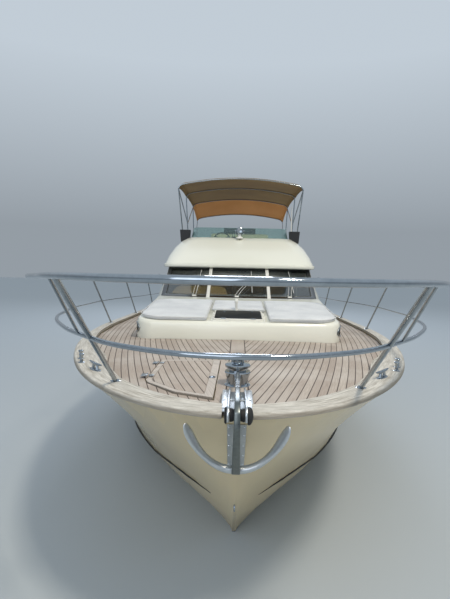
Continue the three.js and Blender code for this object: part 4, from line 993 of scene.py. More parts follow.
def make_pad(outline, thick):
    """A pad cut to an outline: remeshed, crowned, stuffed by a short cloth run, and laid on the trunk"""
    core = plate(outline, 0.004, thick - 0.012)
    rounded(core, 0.012, 2)
    modified(core, "REMESH", mode="VOXEL", voxel_size=PAD_VOXEL)
    for vertex in core.data.vertices:
        inward = distance_in(vertex.co.x, vertex.co.y, outline)
        if vertex.co.z > thick / 2:
            vertex.co.z += 0.012 * (1 - math.exp(-inward / 0.09))
    stuff(core, 0.008)
    for vertex in core.data.vertices:
        vertex.co.z = max(0.001, vertex.co.z)
    modified(core, "SUBSURF", levels=1, render_levels=1)
    for vertex in core.data.vertices:
        vertex.co.z += trunk_top(vertex.co.y)
    return core


def piping(outline, height):
    """A welt sewn round a pad's edge"""
    points = [(x, y, trunk_top(y) + height) for x, y in outline]
    return tube(points, PIPING, closed=True, sides=2, steps=3, straight=True)


for name, outline, thick in (("port", side_pad, 0.062), ("centre", centre_pad, 0.054)):
    pad = make_pad(outline, thick)
    seam = piping(outline, thick - 0.012)
    pieces = [(name, pad, seam)]
    if name == "port":
        pieces.append(("starboard", mirrored(pad), mirrored(seam)))
    for side, pad_piece, seam_piece in pieces:
        finished("sun_pad_%s_cushion" % side, pad_piece, pad_cloth, "sun_pad_" + side, angle=60)
        finished("sun_pad_%s_piping" % side, seam_piece, pad_cloth, angle=60)

# Cushions and furniture

WELT = 0.005
CUSHION_VOXEL = 0.022


def make_cushion(width, depth, thick, place, turn=(0, 0, 0)):
    """A cushion and its welts, crowned, pulled in between its corners, stuffed, then put in its place"""
    w, d = width / 2, depth / 2
    outline = soft_oblong(w, d, 0.18 * min(width, depth), 4)

    def drawn(point):
        """Crowns the faces and pulls the sides in"""
        across, along = 1 - (point.x / w) ** 2, 1 - (point.y / d) ** 2
        swell = 0.84 + 0.26 * max(0, across) * max(0, along)
        return Vector((point.x * (1 - 0.025 * along), point.y * (1 - 0.025 * across), point.z * swell))

    core = rounded(plate(outline, -thick / 2, thick / 2), 0.25 * thick, 3)
    modified(core, "REMESH", mode="VOXEL", voxel_size=CUSHION_VOXEL)
    for vertex in core.data.vertices:
        vertex.co = drawn(vertex.co)
    stuff(core, 0.01)
    modified(core, "SUBSURF", levels=1, render_levels=1)
    welts = []
    for height in (-0.27 * thick, 0.27 * thick):
        line = [drawn(Vector((x, y, height))) for x, y in outline]
        welts.append(tube(line, WELT, closed=True, sides=2, steps=3, straight=True))
    return placed(core, place, turn), placed(joined(welts), place, turn)


def locker_box(low, high, front):
    """A moulded seat base on a recessed plinth, with a sunk panel on the side that it faces"""
    x0, y0, z0 = low
    x1, y1, _ = high
    upper = rounded(block((x0, y0, z0 + 0.06), high, 0), 0.012, 3)
    pick(upper, lambda centre, normal: normal.dot(Vector(front)) > 0.9)
    bpy.ops.mesh.inset(thickness=0.05)
    bpy.ops.mesh.inset(thickness=0.006, depth=-0.006)
    close()
    plinth = block((x0 + 0.04, y0 + 0.04, z0), (x1 - 0.04, y1 - 0.04, z0 + 0.07), 0.003)
    return joined([upper, plinth])


FACING_AFT = (90, 0, 0)
FACING_SIDE = (90, 0, 90)
# Columns are the piece, the node that the first stands for, width, depth, thickness, places and turn
CUSHIONS = [
    ("helm_seat_cushion", "helm_seat", 0.74, 0.4, 0.13, [(x, 1.62, 3.235) for x in (0.38, -0.38)], (0, 0, 0)),
    ("helm_seat_back", None, 0.74, 0.44, 0.1, [(x, 1.8, 3.47) for x in (0.38, -0.38)], FACING_AFT),
    ("helm_seat_headrest", None, 0.405, 0.14, 0.085, [(x, 1.835, 3.765) for x in (0.21, -0.21)], FACING_AFT),
    (
        "flybridge_sofa_cushion", "flybridge_sofa", 0.55, 0.6, 0.13,
        [(0.845, 2.56, 3.19), (0.845, 3.17, 3.19)], (0, 0, 0),
    ),
    (
        "flybridge_sofa_aft_cushion", None, 0.53, 0.54, 0.13,
        [(x, 3.77, 3.19) for x in (0.86, 0.32, -0.22)], (0, 0, 0),
    ),
    (
        "cockpit_sofa_cushion", "cockpit_sofa", 0.765, 0.46, 0.14,
        [(x, 5.59, 1.255) for x in (0.43, -0.34, -1.11)], (0, 0, 0),
    ),
    ("cockpit_sofa_back", None, 0.765, 0.4, 0.13, [(x, 5.9, 1.5) for x in (0.43, -0.34, -1.11)], (84, 0, 0)),
    (
        "saloon_sofa_cushion", "saloon_sofa", 0.54, 0.69, 0.14,
        [(0.98, y, 1.26) for y in (0.355, 1.05, 1.745)], (0, 0, 0),
    ),
    (
        "saloon_sofa_back", None, 0.69, 0.42, 0.13, [(1.345, y, 1.54) for y in (0.355, 1.05, 1.745)],
        FACING_SIDE,
    ),
    ("saloon_seat_cushion", "saloon_seat", 0.55, 0.44, 0.13, [(-0.72, 0.28, 1.515)], (0, 0, 0)),
    ("saloon_seat_back", None, 0.54, 0.5, 0.1, [(-0.72, 0.49, 1.83)], FACING_AFT),
]
VINYLS = {"helm": beige_vinyl, "flybridge": sofa_cloth, "cockpit": sofa_cloth, "saloon": beige_vinyl}
for name, node, width, depth, thick, places, turn in CUSHIONS:
    cloth = navy_vinyl if "headrest" in name else VINYLS[name.split("_")[0]]
    welts = []
    first_core, first_welt = make_cushion(width, depth, thick, (0, 0, 0), turn)
    for i, place in enumerate(places):
        core, welt = copied(first_core, place), copied(first_welt, place)
        stands_for = (node,) if node and i == 0 else ()
        finished("%s_%d" % (name, i + 1), core, cloth, *stands_for, angle=60)
        welts.append(welt)
    finished(name + "_piping", joined(welts), cloth, angle=60)
    for spare in (first_core, first_welt):
        bpy.data.objects.remove(spare)

helm_shell = joined([
    locker_box((-0.76, 1.44, 2.965), (0.76, 1.89, 3.165), (0, -1, 0)),
    block((-0.755, 1.855, 3.12), (0.755, 1.898, 3.69), 0.018, 3),
])
finished("helm_seat_base", helm_shell, deck_gelcoat)
sofa_shell = joined([
    locker_box((0.56, 2.25, 2.965), (1.13, 3.52, 3.12), (-1, 0, 0)),
    locker_box((-0.5, 3.5, 2.965), (1.13, 4.05, 3.12), (0, -1, 0)),
])
finished("flybridge_sofa_base", sofa_shell, deck_gelcoat)
cockpit_shell = locker_box((-1.5, 5.37, 0.902), (0.82, 5.995, 1.18), (0, -1, 0))
finished("cockpit_sofa_base", cockpit_shell, deck_gelcoat)
saloon_shell = joined([
    locker_box((0.7, 0.0, 0.902), (1.449, 2.3, 1.185), (-1, 0, 0)),
    block((0.74, 2.12, 1.17), (1.44, 2.3, 1.74), 0.03, 4),
    block((1.4, 0.02, 1.17), (1.449, 2.2, 1.76), 0.012, 3),
])
finished("saloon_sofa_base", saloon_shell, dark_floor)
stool = [
    (0, 0.902), (0.19, 0.902), (0.19, 0.92), (0.06, 0.95), (0.045, 1.0), (0.045, 1.38), (0.16, 1.43),
    (0, 1.43),
]
finished("saloon_seat_column", joined([
    turned(stool, (-0.72, 0.29, 0)),
    block((-0.985, 0.07, 1.425), (-0.455, 0.55, 1.46), 0.01, 3),
    block((-0.97, 0.535, 1.44), (-0.47, 0.558, 2.05), 0.008, 3),
]), black_plastic)

# Steering wheels, each riding on its own body
WHEEL_TURN = (-55, 0, 0)
WHEELS = (("saloon_wheel", (-0.72, -0.566, 1.93)), ("flybridge_wheel", (-0.42, 0.905, 3.48)))
WHEEL_RIM = 0.19
hub_profile = [
    (0, -0.055), (0.036, -0.055), (0.04, -0.03), (0.03, -0.018), (0.03, -0.004), (0.048, 0.0),
    (0.05, 0.006), (0.03, 0.014), (0, 0.017),
]


def make_spoke(angle):
    """A pressed flat spoke from the hub to the rim"""
    c, s = math.cos(math.radians(angle)), math.sin(math.radians(angle))
    rows = ((0.03, 0.016, 0.004), (0.08, 0.011, 0.002), (0.15, 0.01, 0.0), (WHEEL_RIM, 0.014, 0.0))
    rings = []
    for reach, half, lift in rows:
        corners = (
            (half, 0.003), (half * 0.6, 0.005), (-half * 0.6, 0.005), (-half, 0.003), (-half, -0.003),
            (half, -0.003),
        )
        rings.append([(reach * c - a * s, reach * s + a * c, lift + b) for a, b in corners])
    return lofted(rings)


for node, place in WHEELS:
    rim_line = [(x, y, 0) for x, y in arc(0, 0, WHEEL_RIM, 0, 360, 36)[:-1]]
    grip = [1 + 0.07 * (i % 3 == 0) for i in range(len(rim_line))]
    rim = placed(tube(rim_line, 0.0135, grip, closed=True, sides=4, steps=3), place, WHEEL_TURN)
    finished(node + "_rim", rim, black_rubber, node, body=node, angle=60)
    hub = joined([turned(hub_profile)] + [make_spoke(a) for a in (90, 210, 330)])
    finished(node + "_spokes", placed(hub, place, WHEEL_TURN), brushed_steel, body=node)

# Windlass: a turned housing, and a drum with a chain wheel below and a rope drum above
WINDLASS_PLACE = (0, -6.47, 0)
housing = [
    (0, 1.859), (0.105, 1.859), (0.105, 1.868), (0.098, 1.874), (0.082, 1.88), (0.082, 1.9), (0.091, 1.93),
    (0.102, 1.96), (0.106, 1.97), (0.101, 1.978), (0, 1.978),
]
chain_wheel = [
    (0, 1.9785), (0.068, 1.9785), (0.068, 2.007), (0.098, 2.01), (0.103, 2.015), (0.103, 2.028),
    (0.094, 2.036), (0.06, 2.041), (0.045, 2.048), (0.043, 2.062), (0.05, 2.082), (0.063, 2.091),
    (0.068, 2.099), (0.066, 2.108), (0.05, 2.116), (0.026, 2.116), (0.024, 2.111), (0, 2.111),
]
bolts = []
for x, y in arc(0, 0, 0.094, 30, 330, 5):
    head = turned([(0, 1.87), (0.008, 1.87), (0.008, 1.882), (0.005, 1.885), (0, 1.885)], (x, y, 0), steps=6)
    bolts.append(placed(head, WINDLASS_PLACE))
hawse = block((-0.03, -6.572, 1.862), (0.03, -6.53, 1.97), 0.01, 3)
windlass_shell = joined([turned(housing, WINDLASS_PLACE, steps=48), hawse] + bolts)
finished("windlass_housing", windlass_shell, polished_steel, "windlass")
ribs = []
for x, y in arc(0, 0, 0.047, 0, 315, 7):
    rib = block((-0.006, -0.004, 2.044), (0.006, 0.004, 2.09), 0.002, 1)
    ribs.append(placed(rib, (x, y + WINDLASS_PLACE[1], 0), (0, 0, math.degrees(math.atan2(y, x)))))
drum = joined([turned(chain_wheel, WINDLASS_PLACE, steps=48)] + ribs)
finished("windlass_drum_shell", drum, polished_steel, "windlass_drum", body="windlass_drum")

# Chain between the windlass and the anchor's shank
LINK_PITCH = 0.029
CHAIN_START = Vector((0, -6.562, 1.984))
CHAIN_END = Vector((0, -7.075, 1.98))
link_line = [(x, y + (0.008 if y > 0 else -0.008), 0) for x, y in arc(0, 0, 0.0105, 0, 330, 11)]
first_link = tube(link_line, 0.0045, closed=True, sides=1, steps=1)
links = []
count = round((CHAIN_END - CHAIN_START).length / LINK_PITCH)
for i in range(count):
    spot = CHAIN_START.lerp(CHAIN_END, (i + 0.5) / count)
    links.append(copied(first_link, spot, (0, 90 * (i % 2), 0)))
bpy.data.objects.remove(first_link)
finished("anchor_chain_links", joined(links), brushed_steel, "anchor_chain", angle=60)

# Bow roller: two cheeks, a channel floor, a pin, side flanges, and a grooved rubber roller with its end caps
ROLLER_Y = -7.375
ROLLER_Z = 1.912
nose = [(y, z) for y, z in arc(-7.37, 1.91, 0.057, 90, 215, 8)]
CHEEK = 0.056
cheek_line = [(-6.72, 1.864), (-6.72, 1.905), (-6.9, 1.935), (-7.18, 1.965)] + nose + [(-7.33, 1.864)]
parts = [rounded(fin(cheek_line, x - 0.007, x + 0.007), 0.003, 2) for x in (-CHEEK, CHEEK)]
parts.append(fin([(-6.72, 1.864), (-6.72, 1.873), (-7.29, 1.881), (-7.315, 1.864)], -CHEEK, CHEEK))
groove = [
    (0, -0.047), (0.04, -0.047), (0.042, -0.04), (0.034, -0.014), (0.034, 0.014), (0.042, 0.04),
    (0.04, 0.047), (0, 0.047),
]
parts.append(tube([(-CHEEK - 0.006, -7.2, 1.95), (CHEEK + 0.006, -7.2, 1.95)], 0.006))
for side in (1, -1):
    xs = sorted((side * 0.058, side * 0.108))
    parts.append(block((xs[0], -7.262, 1.89), (xs[1], -6.76, 1.9), 0.003))
    for y in (-7.21, -7.03, -6.81):
        parts.append(
            turned(
                [(0, 1.899), (0.009, 1.899), (0.008, 1.903), (0.004, 1.905), (0, 1.905)],
                (side * 0.088, y, 0), steps=12,
            )
        )
finished("bow_roller_cheeks", joined(parts), satin_steel, "bow_roller")
dome = [(0, 0), (0.053, 0), (0.056, 0.008), (0.051, 0.02), (0.036, 0.03), (0.012, 0.035), (0, 0.035)]
cap = [(0, 0), (0.05, 0), (0.052, 0.006), (0.045, 0.014), (0, 0.016)]
rollers = [
    turned(groove, (0, ROLLER_Y, ROLLER_Z), (0, 90, 0), 40),
    turned(dome, (CHEEK + 0.008, ROLLER_Y + 0.02, ROLLER_Z - 0.01), (0, 90, 0), 32),
    turned(cap, (-CHEEK - 0.008, ROLLER_Y + 0.02, ROLLER_Z - 0.01), (0, -90, 0), 32),
]
finished("bow_roller_rubber", joined(rollers), black_rubber)


def stem_front(x, z):
    """Place along the hull where its front reaches a half width at a height"""
    low, high = STEM_Y, -4.0
    for _ in range(30):
        middle = (low + high) / 2
        if hull_half(middle, z) > abs(x) + 0.001:
            high = middle
        else:
            low = middle
    return high


# Steel plate that guards the stem behind the anchor, with its screws
PLATE_HALF = 0.062
PLATE_FOOT = 1.31
PLATE_HIGH = 0.5


def on_plate(u, v):
    """Point on the stem plate, from its foot to its head"""
    x = PLATE_HALF * (2 * u - 1)
    z = PLATE_FOOT + PLATE_HIGH * v
    ease = 0.35 + 0.65 * (2 * u - 1) ** 2
    middle, side = stem_front(0.02, z), stem_front(PLATE_HALF, z)
    return x, middle - 0.006 + (side - middle) * ease * (2 * u - 1) ** 2, z


guard = modified(sheet(10, 14, on_plate), "SOLIDIFY", thickness=0.004, offset=0)
screws = []
for side in (0.09, 0.91):
    for v in (0.06, 0.3, 0.54, 0.78, 0.95):
        x, y, z = on_plate(side, v)
        screws.append(
            turned(
                [(0, -0.004), (0.008, -0.004), (0.007, 0.002), (0.004, 0.004), (0, 0.0045)],
                (x, y - 0.002, z), (55, 0, 0), 12,
            )
        )
finished("stem_plate", joined([guard] + screws), satin_steel)

# Anchor: a rounded shank, and a claw of two arms that widen into flukes
SHANK_TOP = ROLLER_Z + 0.042
shank_line = [
    (-7.062, SHANK_TOP + 0.002), (-7.062, SHANK_TOP + 0.035), (-7.075, SHANK_TOP + 0.048),
    (-7.38, SHANK_TOP + 0.05), (-7.43, SHANK_TOP + 0.035), (-7.465, SHANK_TOP), (-7.487, SHANK_TOP - 0.09),
    (-7.42, 1.74), (-7.32, 1.6), (-7.21, 1.46), (-7.125, 1.47), (-7.25, 1.64), (-7.36, 1.79), (-7.43, 1.9),
    (-7.42, SHANK_TOP - 0.008), (-7.385, SHANK_TOP + 0.002),
]
shank = fin(shank_line, -0.018, 0.018)
for vertex in shank.data.vertices:
    vertex.co.x *= 1 + 0.6 * min(1, max(0, (1.95 - vertex.co.z) / 0.5))
rounded(shank, 0.006, 3)
# Columns are x, y, z, half width, half thickness and twist in degrees
ARM = (
    (-0.02, -7.158, 1.468, 0.034, 0.03, 0), (0.06, -7.16, 1.473, 0.03, 0.027, 0),
    (0.12, -7.165, 1.494, 0.027, 0.025, 6), (0.18, -7.175, 1.537, 0.026, 0.022, 16),
    (0.235, -7.195, 1.6, 0.03, 0.018, 28), (0.275, -7.215, 1.668, 0.036, 0.014, 40),
    (0.308, -7.235, 1.735, 0.037, 0.011, 46), (0.326, -7.248, 1.785, 0.027, 0.008, 46),
    (0.334, -7.252, 1.81, 0.01, 0.004, 46),
)


def make_arm(rows):
    """Skins oval rings along the arm's centre line, each turned by its twist"""
    centres = [Vector(row[:3]) for row in rows]
    rings = []
    for i, (_, _, _, half, thick, twist) in enumerate(rows):
        along = (centres[min(i + 1, len(rows) - 1)] - centres[max(i - 1, 0)]).normalized()
        wide = (Vector((0, 1, 0)) - along * along.y).normalized()
        wide.rotate(Matrix.Rotation(math.radians(twist), 3, along))
        up = along.cross(wide)
        rings.append([centres[i] + wide * half * x + up * thick * y for x, y in arc(0, 0, 1, 0, 337.5, 15)])
    return modified(lofted(rings), "SUBSURF", levels=1, render_levels=1)


arm = make_arm(ARM)
# The shank's steel is darkened: painted reflection of dark surroundings
finished("anchor_shank", shank, shank_steel_painted_dark, "anchor", angle=50)
finished("anchor_claw", joined([arm, mirrored(arm)]), satin_steel, angle=50)

# Mooring cleats and bow fairleads


def make_cleat():
    """A cleat with two posts and a horn bar, lying along Y"""
    foot = rounded(plate([(0.034 * x, 0.095 * y) for x, y in arc(0, 0, 1, 0, 345, 23)], 0, 0.007), 0.003, 2)
    posts = [tube([(0, y, 0.004), (0, y * 0.8, 0.05)], 0.012, (1.25, 0.95), sides=3) for y in (-0.045, 0.045)]
    horn_line = [(0, -0.125, 0.062), (0, -0.07, 0.056), (0, 0, 0.053), (0, 0.07, 0.056), (0, 0.125, 0.062)]
    horn = tube(horn_line, 0.013, (0.45, 0.95, 1.05, 0.95, 0.45), sides=4)
    return joined([foot, horn] + posts)


# Columns are x, y and turn in degrees
CLEATS = ((1.245, -6.191, 40), (2.12, 0.4, 0), (2.03, 5.8, 0))
bow_cleat = make_cleat()
cleats = []
for x, y, turn in CLEATS:
    one = copied(bow_cleat, (x, y, cap_top(y) + 0.0005), (0, 0, -turn))
    cleats += [one, mirrored(one)]
bpy.data.objects.remove(bow_cleat)
finished("mooring_cleats", joined(cleats), polished_steel, angle=45)
post = [
    (0, 0), (0.03, 0), (0.03, 0.004), (0.017, 0.01), (0.014, 0.03), (0.014, 0.06), (0.024, 0.074),
    (0.026, 0.08), (0.02, 0.087), (0, 0.09),
]
leads = []
for x, y in ((1.47, -5.9), (1.54, -5.72)):
    one = turned(post, (x, y, cap_top(y) + 0.0005), steps=24)
    leads += [one, mirrored(one)]
finished("bow_fairleads", joined(leads), polished_steel, angle=45)

# Spray strips on the bow, black partly as rubber and partly as painted shade along them, and the eye above
# the water
SPRAY = (
    (-5.84, 0.625), (-5.69, 0.655), (-5.46, 0.648), (-5.1, 0.59), (-4.46, 0.44), (-3.6, 0.37), (-2.2, 0.33),
    (0.0, 0.27), (3.0, 0.19), (6.2, 0.11),
)


def strip_ring(y, z, size):
    """Section of a spray strip: a wedge standing out of the hull"""
    half = hull_half(y, z)
    return [
        (half - 0.012, y, z + 0.014 * size), (half + 0.016 * size, y, z + 0.004),
        (half + 0.016 * size, y, z - 0.008 * size), (half - 0.014, y, z - 0.01 * size),
    ]


dense = []
for (y0, z0), (y1, z1) in zip(SPRAY, SPRAY[1:]):
    steps = max(2, round((y1 - y0) / 0.12))
    dense += [(y0 + (y1 - y0) * i / steps, z0 + (z1 - z0) * i / steps) for i in range(steps)]
strip = lofted([strip_ring(y, z, min(1, 0.25 + (y + 5.84) / 0.3)) for y, z in dense])
# The strips' black is partly rubber and partly painted shade under the strake
finished("spray_strips", joined([strip, mirrored(strip)]), black_rubber, angle=30)
eye_y = stem_front(0.02, 0.62)
eye_line = [
    (0, eye_y + 0.02, 0.655), (0, eye_y - 0.03, 0.65), (0, eye_y - 0.055, 0.62), (0, eye_y - 0.035, 0.59),
    (0, eye_y + 0.02, 0.575),
]
finished("bow_eye", tube(eye_line, 0.008, sides=3), polished_steel, angle=50)

# Deck hatch: a white frame round smoked acrylic, on the hatch's own body
HATCH_Y = -3.77
HATCH_HALF = (0.339, 0.314)
SLOPE = math.degrees(math.atan2(TRUNK_RISE, TRUNK_RUN))


def on_hatch(piece):
    """Puts a piece drawn about the hatch's centre on the sloping trunk top"""
    return placed(piece, (0, HATCH_Y, trunk_top(HATCH_Y)), (SLOPE, 0, 0))


def make_ring(outer, inner, low, high, edge):
    """A flat frame between two rounded rectangles, each given as half width, half length and corner"""
    piece = plate(soft_oblong(*outer), low, high)
    cut(piece, plate(soft_oblong(*inner), low - CUT_REACH, high + CUT_REACH))
    return rounded(piece, edge, 3, 40)


hatch_x, hatch_y = HATCH_HALF
lid_frame = make_ring((hatch_x, hatch_y, 0.05), (0.321, 0.296, 0.035), 0.0106, 0.034, 0.004)
finished("deck_hatch_frame", on_hatch(lid_frame), white_paint, "deck_hatch", body="deck_hatch")
pane = rounded(plate(soft_oblong(0.3205, 0.2955, 0.035), 0.0125, 0.0365), 0.003, 2)
finished("deck_hatch_pane", on_hatch(pane), hatch_glass, body="deck_hatch")
dogs = []
for x in (-0.2, 0.2):
    knob = turned(
        [(0, 0.032), (0.018, 0.032), (0.018, 0.038), (0.01, 0.043), (0, 0.044)], (x, 0.2, 0), steps=20
    )
    hinge = tube([(x - 0.035, -hatch_y + 0.004, 0.036), (x + 0.035, -hatch_y + 0.004, 0.036)], 0.007)
    dogs += [knob, hinge, block((x - 0.03, -hatch_y, 0.034), (x + 0.03, -hatch_y + 0.04, 0.039), 0.002)]
finished("deck_hatch_fittings", on_hatch(joined(dogs)), polished_steel, body="deck_hatch")
flange = make_ring((0.366, 0.341, 0.065), (0.345, 0.32, 0.05), 0.0005, 0.007, 0.002)
finished("deck_hatch_flange", on_hatch(flange), white_paint)
deck_vent = [
    (0, 0), (0.034, 0), (0.034, 0.012), (0.018, 0.02), (0.017, 0.12), (0.025, 0.14), (0.027, 0.18),
    (0.015, 0.2), (0, 0.2),
]
finished("deck_vent", turned(deck_vent, (-0.03, -3.434, trunk_top(-3.434)), steps=20), white_paint)


# Anchor locker lid: a border plank round the planking, hinges outboard and a ring latch inboard
# Anticlockwise from the inboard side
LOCKER = ((-0.17, -6.9), (-0.17, -5.55), (-0.77, -5.55), (-0.77, -6.36), (-0.735, -6.45), (-0.48, -6.745))
TEAK = 0.012
BULWARK = 0.07
DECK_DROP = 0.066
CAMBER = 0.062


def deck_top(x, y):
    """Height of the teak deck at a place"""
    half = sheer_half(max(1, y - STEM_Y)) - BULWARK
    share = min(1, abs(x) / half)
    return cap_top(y) - DECK_DROP + CAMBER * half / HALF_BEAM * (1 - share * share) + TEAK


def left_of(start, end):
    """Unit vector to the left of the way from one point to the next"""
    length = math.hypot(end[0] - start[0], end[1] - start[1])
    return (start[1] - end[1]) / length, (end[0] - start[0]) / length


def moved_in(outline, *distances):
    """Moves the sides of a convex anticlockwise outline inwards. The last distance holds for the rest"""
    reach = [distances[min(k, len(distances) - 1)] for k in range(len(outline))]
    moved = []
    for k, (x, y) in enumerate(outline):
        before = left_of(outline[k - 1], (x, y))
        after = left_of((x, y), outline[(k + 1) % len(outline)])
        turn = before[0] * after[0] + before[1] * after[1]
        a = (reach[k - 1] - reach[k] * turn) / (1 - turn * turn)
        b = (reach[k] - reach[k - 1] * turn) / (1 - turn * turn)
        moved.append((x + a * before[0] + b * after[0], y + a * before[1] + b * after[1]))
    return moved


def on_deck(outline, low, high, hole=None):
    """A plate between two depths below the teak's top, cut across often enough to follow the deck's camber"""
    piece = plate(outline, low, high)
    if hole:
        cut(piece, plate(hole, low - CUT_REACH, high + CUT_REACH))
    rounded(piece, 0.0015, 1, 40)
    for normal, spots in (
        ((1, 0, 0), (-0.3, -0.43, -0.56, -0.68)), ((0, 1, 0), (-6.7, -6.5, -6.3, -6.0, -5.75)),
    ):
        for spot in spots:
            edit(piece)
            bpy.ops.mesh.bisect(plane_co=Vector(normal) * spot, plane_no=normal)
            close()
    for vertex in piece.data.vertices:
        vertex.co.z += deck_top(vertex.co.x, vertex.co.y)
    return piece


lid_line = moved_in(LOCKER, 0.005)
planked_line = moved_in(lid_line, 0.07, 0.05)
border = joined([
    on_deck(lid_line, -0.021, -0.005),
    on_deck(lid_line, -0.0045, 0.0005, moved_in(lid_line, 0.066, 0.046)),
])
finished(
    "anchor_locker_lid_border", border, teak_lid_board, "anchor_locker_lid", body="anchor_locker_lid",
    angle=30,
)
finished(
    "anchor_locker_lid_planks", on_deck(planked_line, -0.0045, 0.0005), teak_lid, body="anchor_locker_lid",
    angle=30,
)
HINGE_X = -0.77
leaves = []
bases = []
for y in (-5.72, -6.26):
    z = 1.8665 - 0.012 * (y + 5.9)
    leaves.append(block((HINGE_X + 0.009, y - 0.028, z), (HINGE_X + 0.055, y + 0.028, z + 0.003), 0.001))
    bases.append(block((HINGE_X - 0.055, y - 0.045, z), (HINGE_X - 0.0025, y + 0.045, z + 0.0025), 0.001))
    for end in (-0.045, 0.031):
        knuckle = [(HINGE_X - 0.008, y + end, z + 0.004), (HINGE_X - 0.008, y + end + 0.014, z + 0.004)]
        bases.append(tube(knuckle, 0.0045))
finished("anchor_locker_hinge_leaf", joined(leaves), brushed_steel, body="anchor_locker_lid")
finished("anchor_locker_hinge_base", joined(bases), brushed_steel)
latch = joined([
    turned(
        [(0, 1.866), (0.03, 1.866), (0.03, 1.869), (0.026, 1.871), (0.02, 1.869), (0, 1.869)],
        (-0.215, -6.27, 0), steps=28,
    ),
    tube(
        [(x - 0.215, y - 6.27, 1.872) for x, y in arc(0, 0, 0.026, 0, 345, 23)], 0.003, closed=True,
        sides=2, steps=1,
    ),
])
finished("anchor_locker_latch", latch, polished_steel, body="anchor_locker_lid")


# Moulding that closes the notch between the coachroof and the deckhouse's rounded front
joint_line = [
    (1.16, -1.857), (1.469, -1.857), (1.461, -1.832), (1.447, -1.806), (1.431, -1.783), (1.4, -1.785),
    (1.28, -1.818),
]
joint = rounded(plate(joint_line, 1.788, 2.268), 0.003, 1, 40)
finished("coachroof_joint", joined([joint, mirrored(joint)]), deck_gelcoat)


# Portlights: an oval pane in a steel rim, laid on a curved wall
def make_portlight(place, half_along, half_high):
    """Gives the rim and the pane. place(along, up) is a point just outside the wall"""
    rim_line = [place(half_along * x, half_high * y) for x, y in arc(0, 0, 1, 0, 350, 35)]
    rim = tube(rim_line, 0.008, closed=True, sides=3, steps=1)

    def pane_point(u, v):
        a, b = 2 * u - 1, 2 * v - 1
        x, y = a * math.sqrt(1 - b * b / 2), b * math.sqrt(1 - a * a / 2)
        return place(half_along * x, half_high * y)

    return rim, modified(sheet(12, 8, pane_point), "SOLIDIFY", thickness=0.003, offset=0)


def add_portlights(name, wall, spots, half_along, half_high, rim_finish):
    """Sets portlights of one size on both sides. wall(along, up) is a point just outside the port wall"""
    rims, panes = [], []
    for spot in spots:
        rim, pane = make_portlight(lambda along, up: wall(spot + along, up), half_along, half_high)
        rims += [rim, mirrored(rim)]
        panes += [pane, mirrored(pane)]
    finished(name + "_portlight_rims", joined(rims), rim_finish, angle=50)
    finished(name + "_portlight_panes", joined(panes), dark_glass, angle=50)


TRUNK_TURN = 0.3
TRUNK_CORNER = (1.105, -3.835)
PROUD = 0.003
PORTLIGHT_Z = 1.28


def on_topsides(y, up):
    """Point on the port topsides, about the height of the portlights"""
    return hull_half(y, PORTLIGHT_Z + up) + PROUD, y, PORTLIGHT_Z + up


def on_trunk(along, up):
    """Point on the trunk's port wall, along from the middle of its front corner"""
    angle = math.radians(-32) + along / TRUNK_TURN
    end = math.radians(-6)
    reach = TRUNK_TURN + PROUD
    if angle < end:
        x, y = TRUNK_CORNER[0] + reach * math.cos(angle), TRUNK_CORNER[1] + reach * math.sin(angle)
    else:
        rest = (angle - end) * TRUNK_TURN
        x = TRUNK_CORNER[0] + reach * math.cos(end) + 0.0355 * rest
        y = TRUNK_CORNER[1] + reach * math.sin(end) + rest
    return x - 0.02 * (up + 0.1), y, 1.972 + up


add_portlights("trunk", on_trunk, (0.1, 0.95, 1.6), 0.14, 0.066, brushed_steel)
add_portlights("hull", on_topsides, (-2.6, -1.2, 3.6, 4.5), 0.24, 0.085, polished_steel)

# Rubber gaskets round the saloon's side windows
WALL_PLAN = (
    ((1.425, -1.8), (1.5, -0.42)), ((1.58, -1.15), (1.53, 0.06)), ((1.64, 0.5), (1.54, 0.9)),
    ((1.62, 2.7), (1.5, 2.7)),
)
SILL_Z = 2.27
ROOF_LOW = 2.8


def wall_x(y, z):
    """Outer face of the deckhouse's port wall"""
    share = max(0, (z - SILL_Z) / (ROOF_LOW - SILL_Z))
    line = [(a[0] + (b[0] - a[0]) * share, a[1] + (b[1] - a[1]) * share) for a, b in WALL_PLAN]
    for (x0, y0), (x1, y1) in zip(line, line[1:]):
        if y <= y1:
            return x0 + (x1 - x0) * max(0, (y - y0) / (y1 - y0))
    return line[-1][0]


WINDOW = ((-0.9, 2.07), (2.25, 2.07), (2.25, 2.62), (0.35, 2.64), (-0.25, 2.56))
window_line = []
for (y0, z0), (y1, z1) in zip(WINDOW, WINDOW[1:] + WINDOW[:1]):
    steps = max(2, round(math.hypot(y1 - y0, z1 - z0) / 0.12))
    for i in range(steps):
        y, z = y0 + (y1 - y0) * i / steps, z0 + (z1 - z0) * i / steps
        window_line.append((wall_x(y, z) + 0.001, y, z))
gasket = tube(window_line, 0.009, closed=True, sides=2, straight=True)
finished("side_window_gaskets", joined([gasket, mirrored(gasket)]), black_rubber, angle=50)


# Windscreen: wipers, and the tan dashboard behind the glass
SCREEN_FOOT = -2.0
SCREEN_RUN = 1.38
SCREEN_RISE = 0.53
# The way straight out of the glass, aft and up
SCREEN_OUT = (-0.3586, 0.9335)


def on_screen(x, share, lift):
    """Point in front of the windscreen at a share of its height"""
    side = max(0, abs(x) - 0.55) / 0.875
    y = SCREEN_FOOT + 0.2 * side + SCREEN_RUN * share
    return x, y + SCREEN_OUT[0] * lift, SILL_Z + SCREEN_RISE * share + SCREEN_OUT[1] * lift


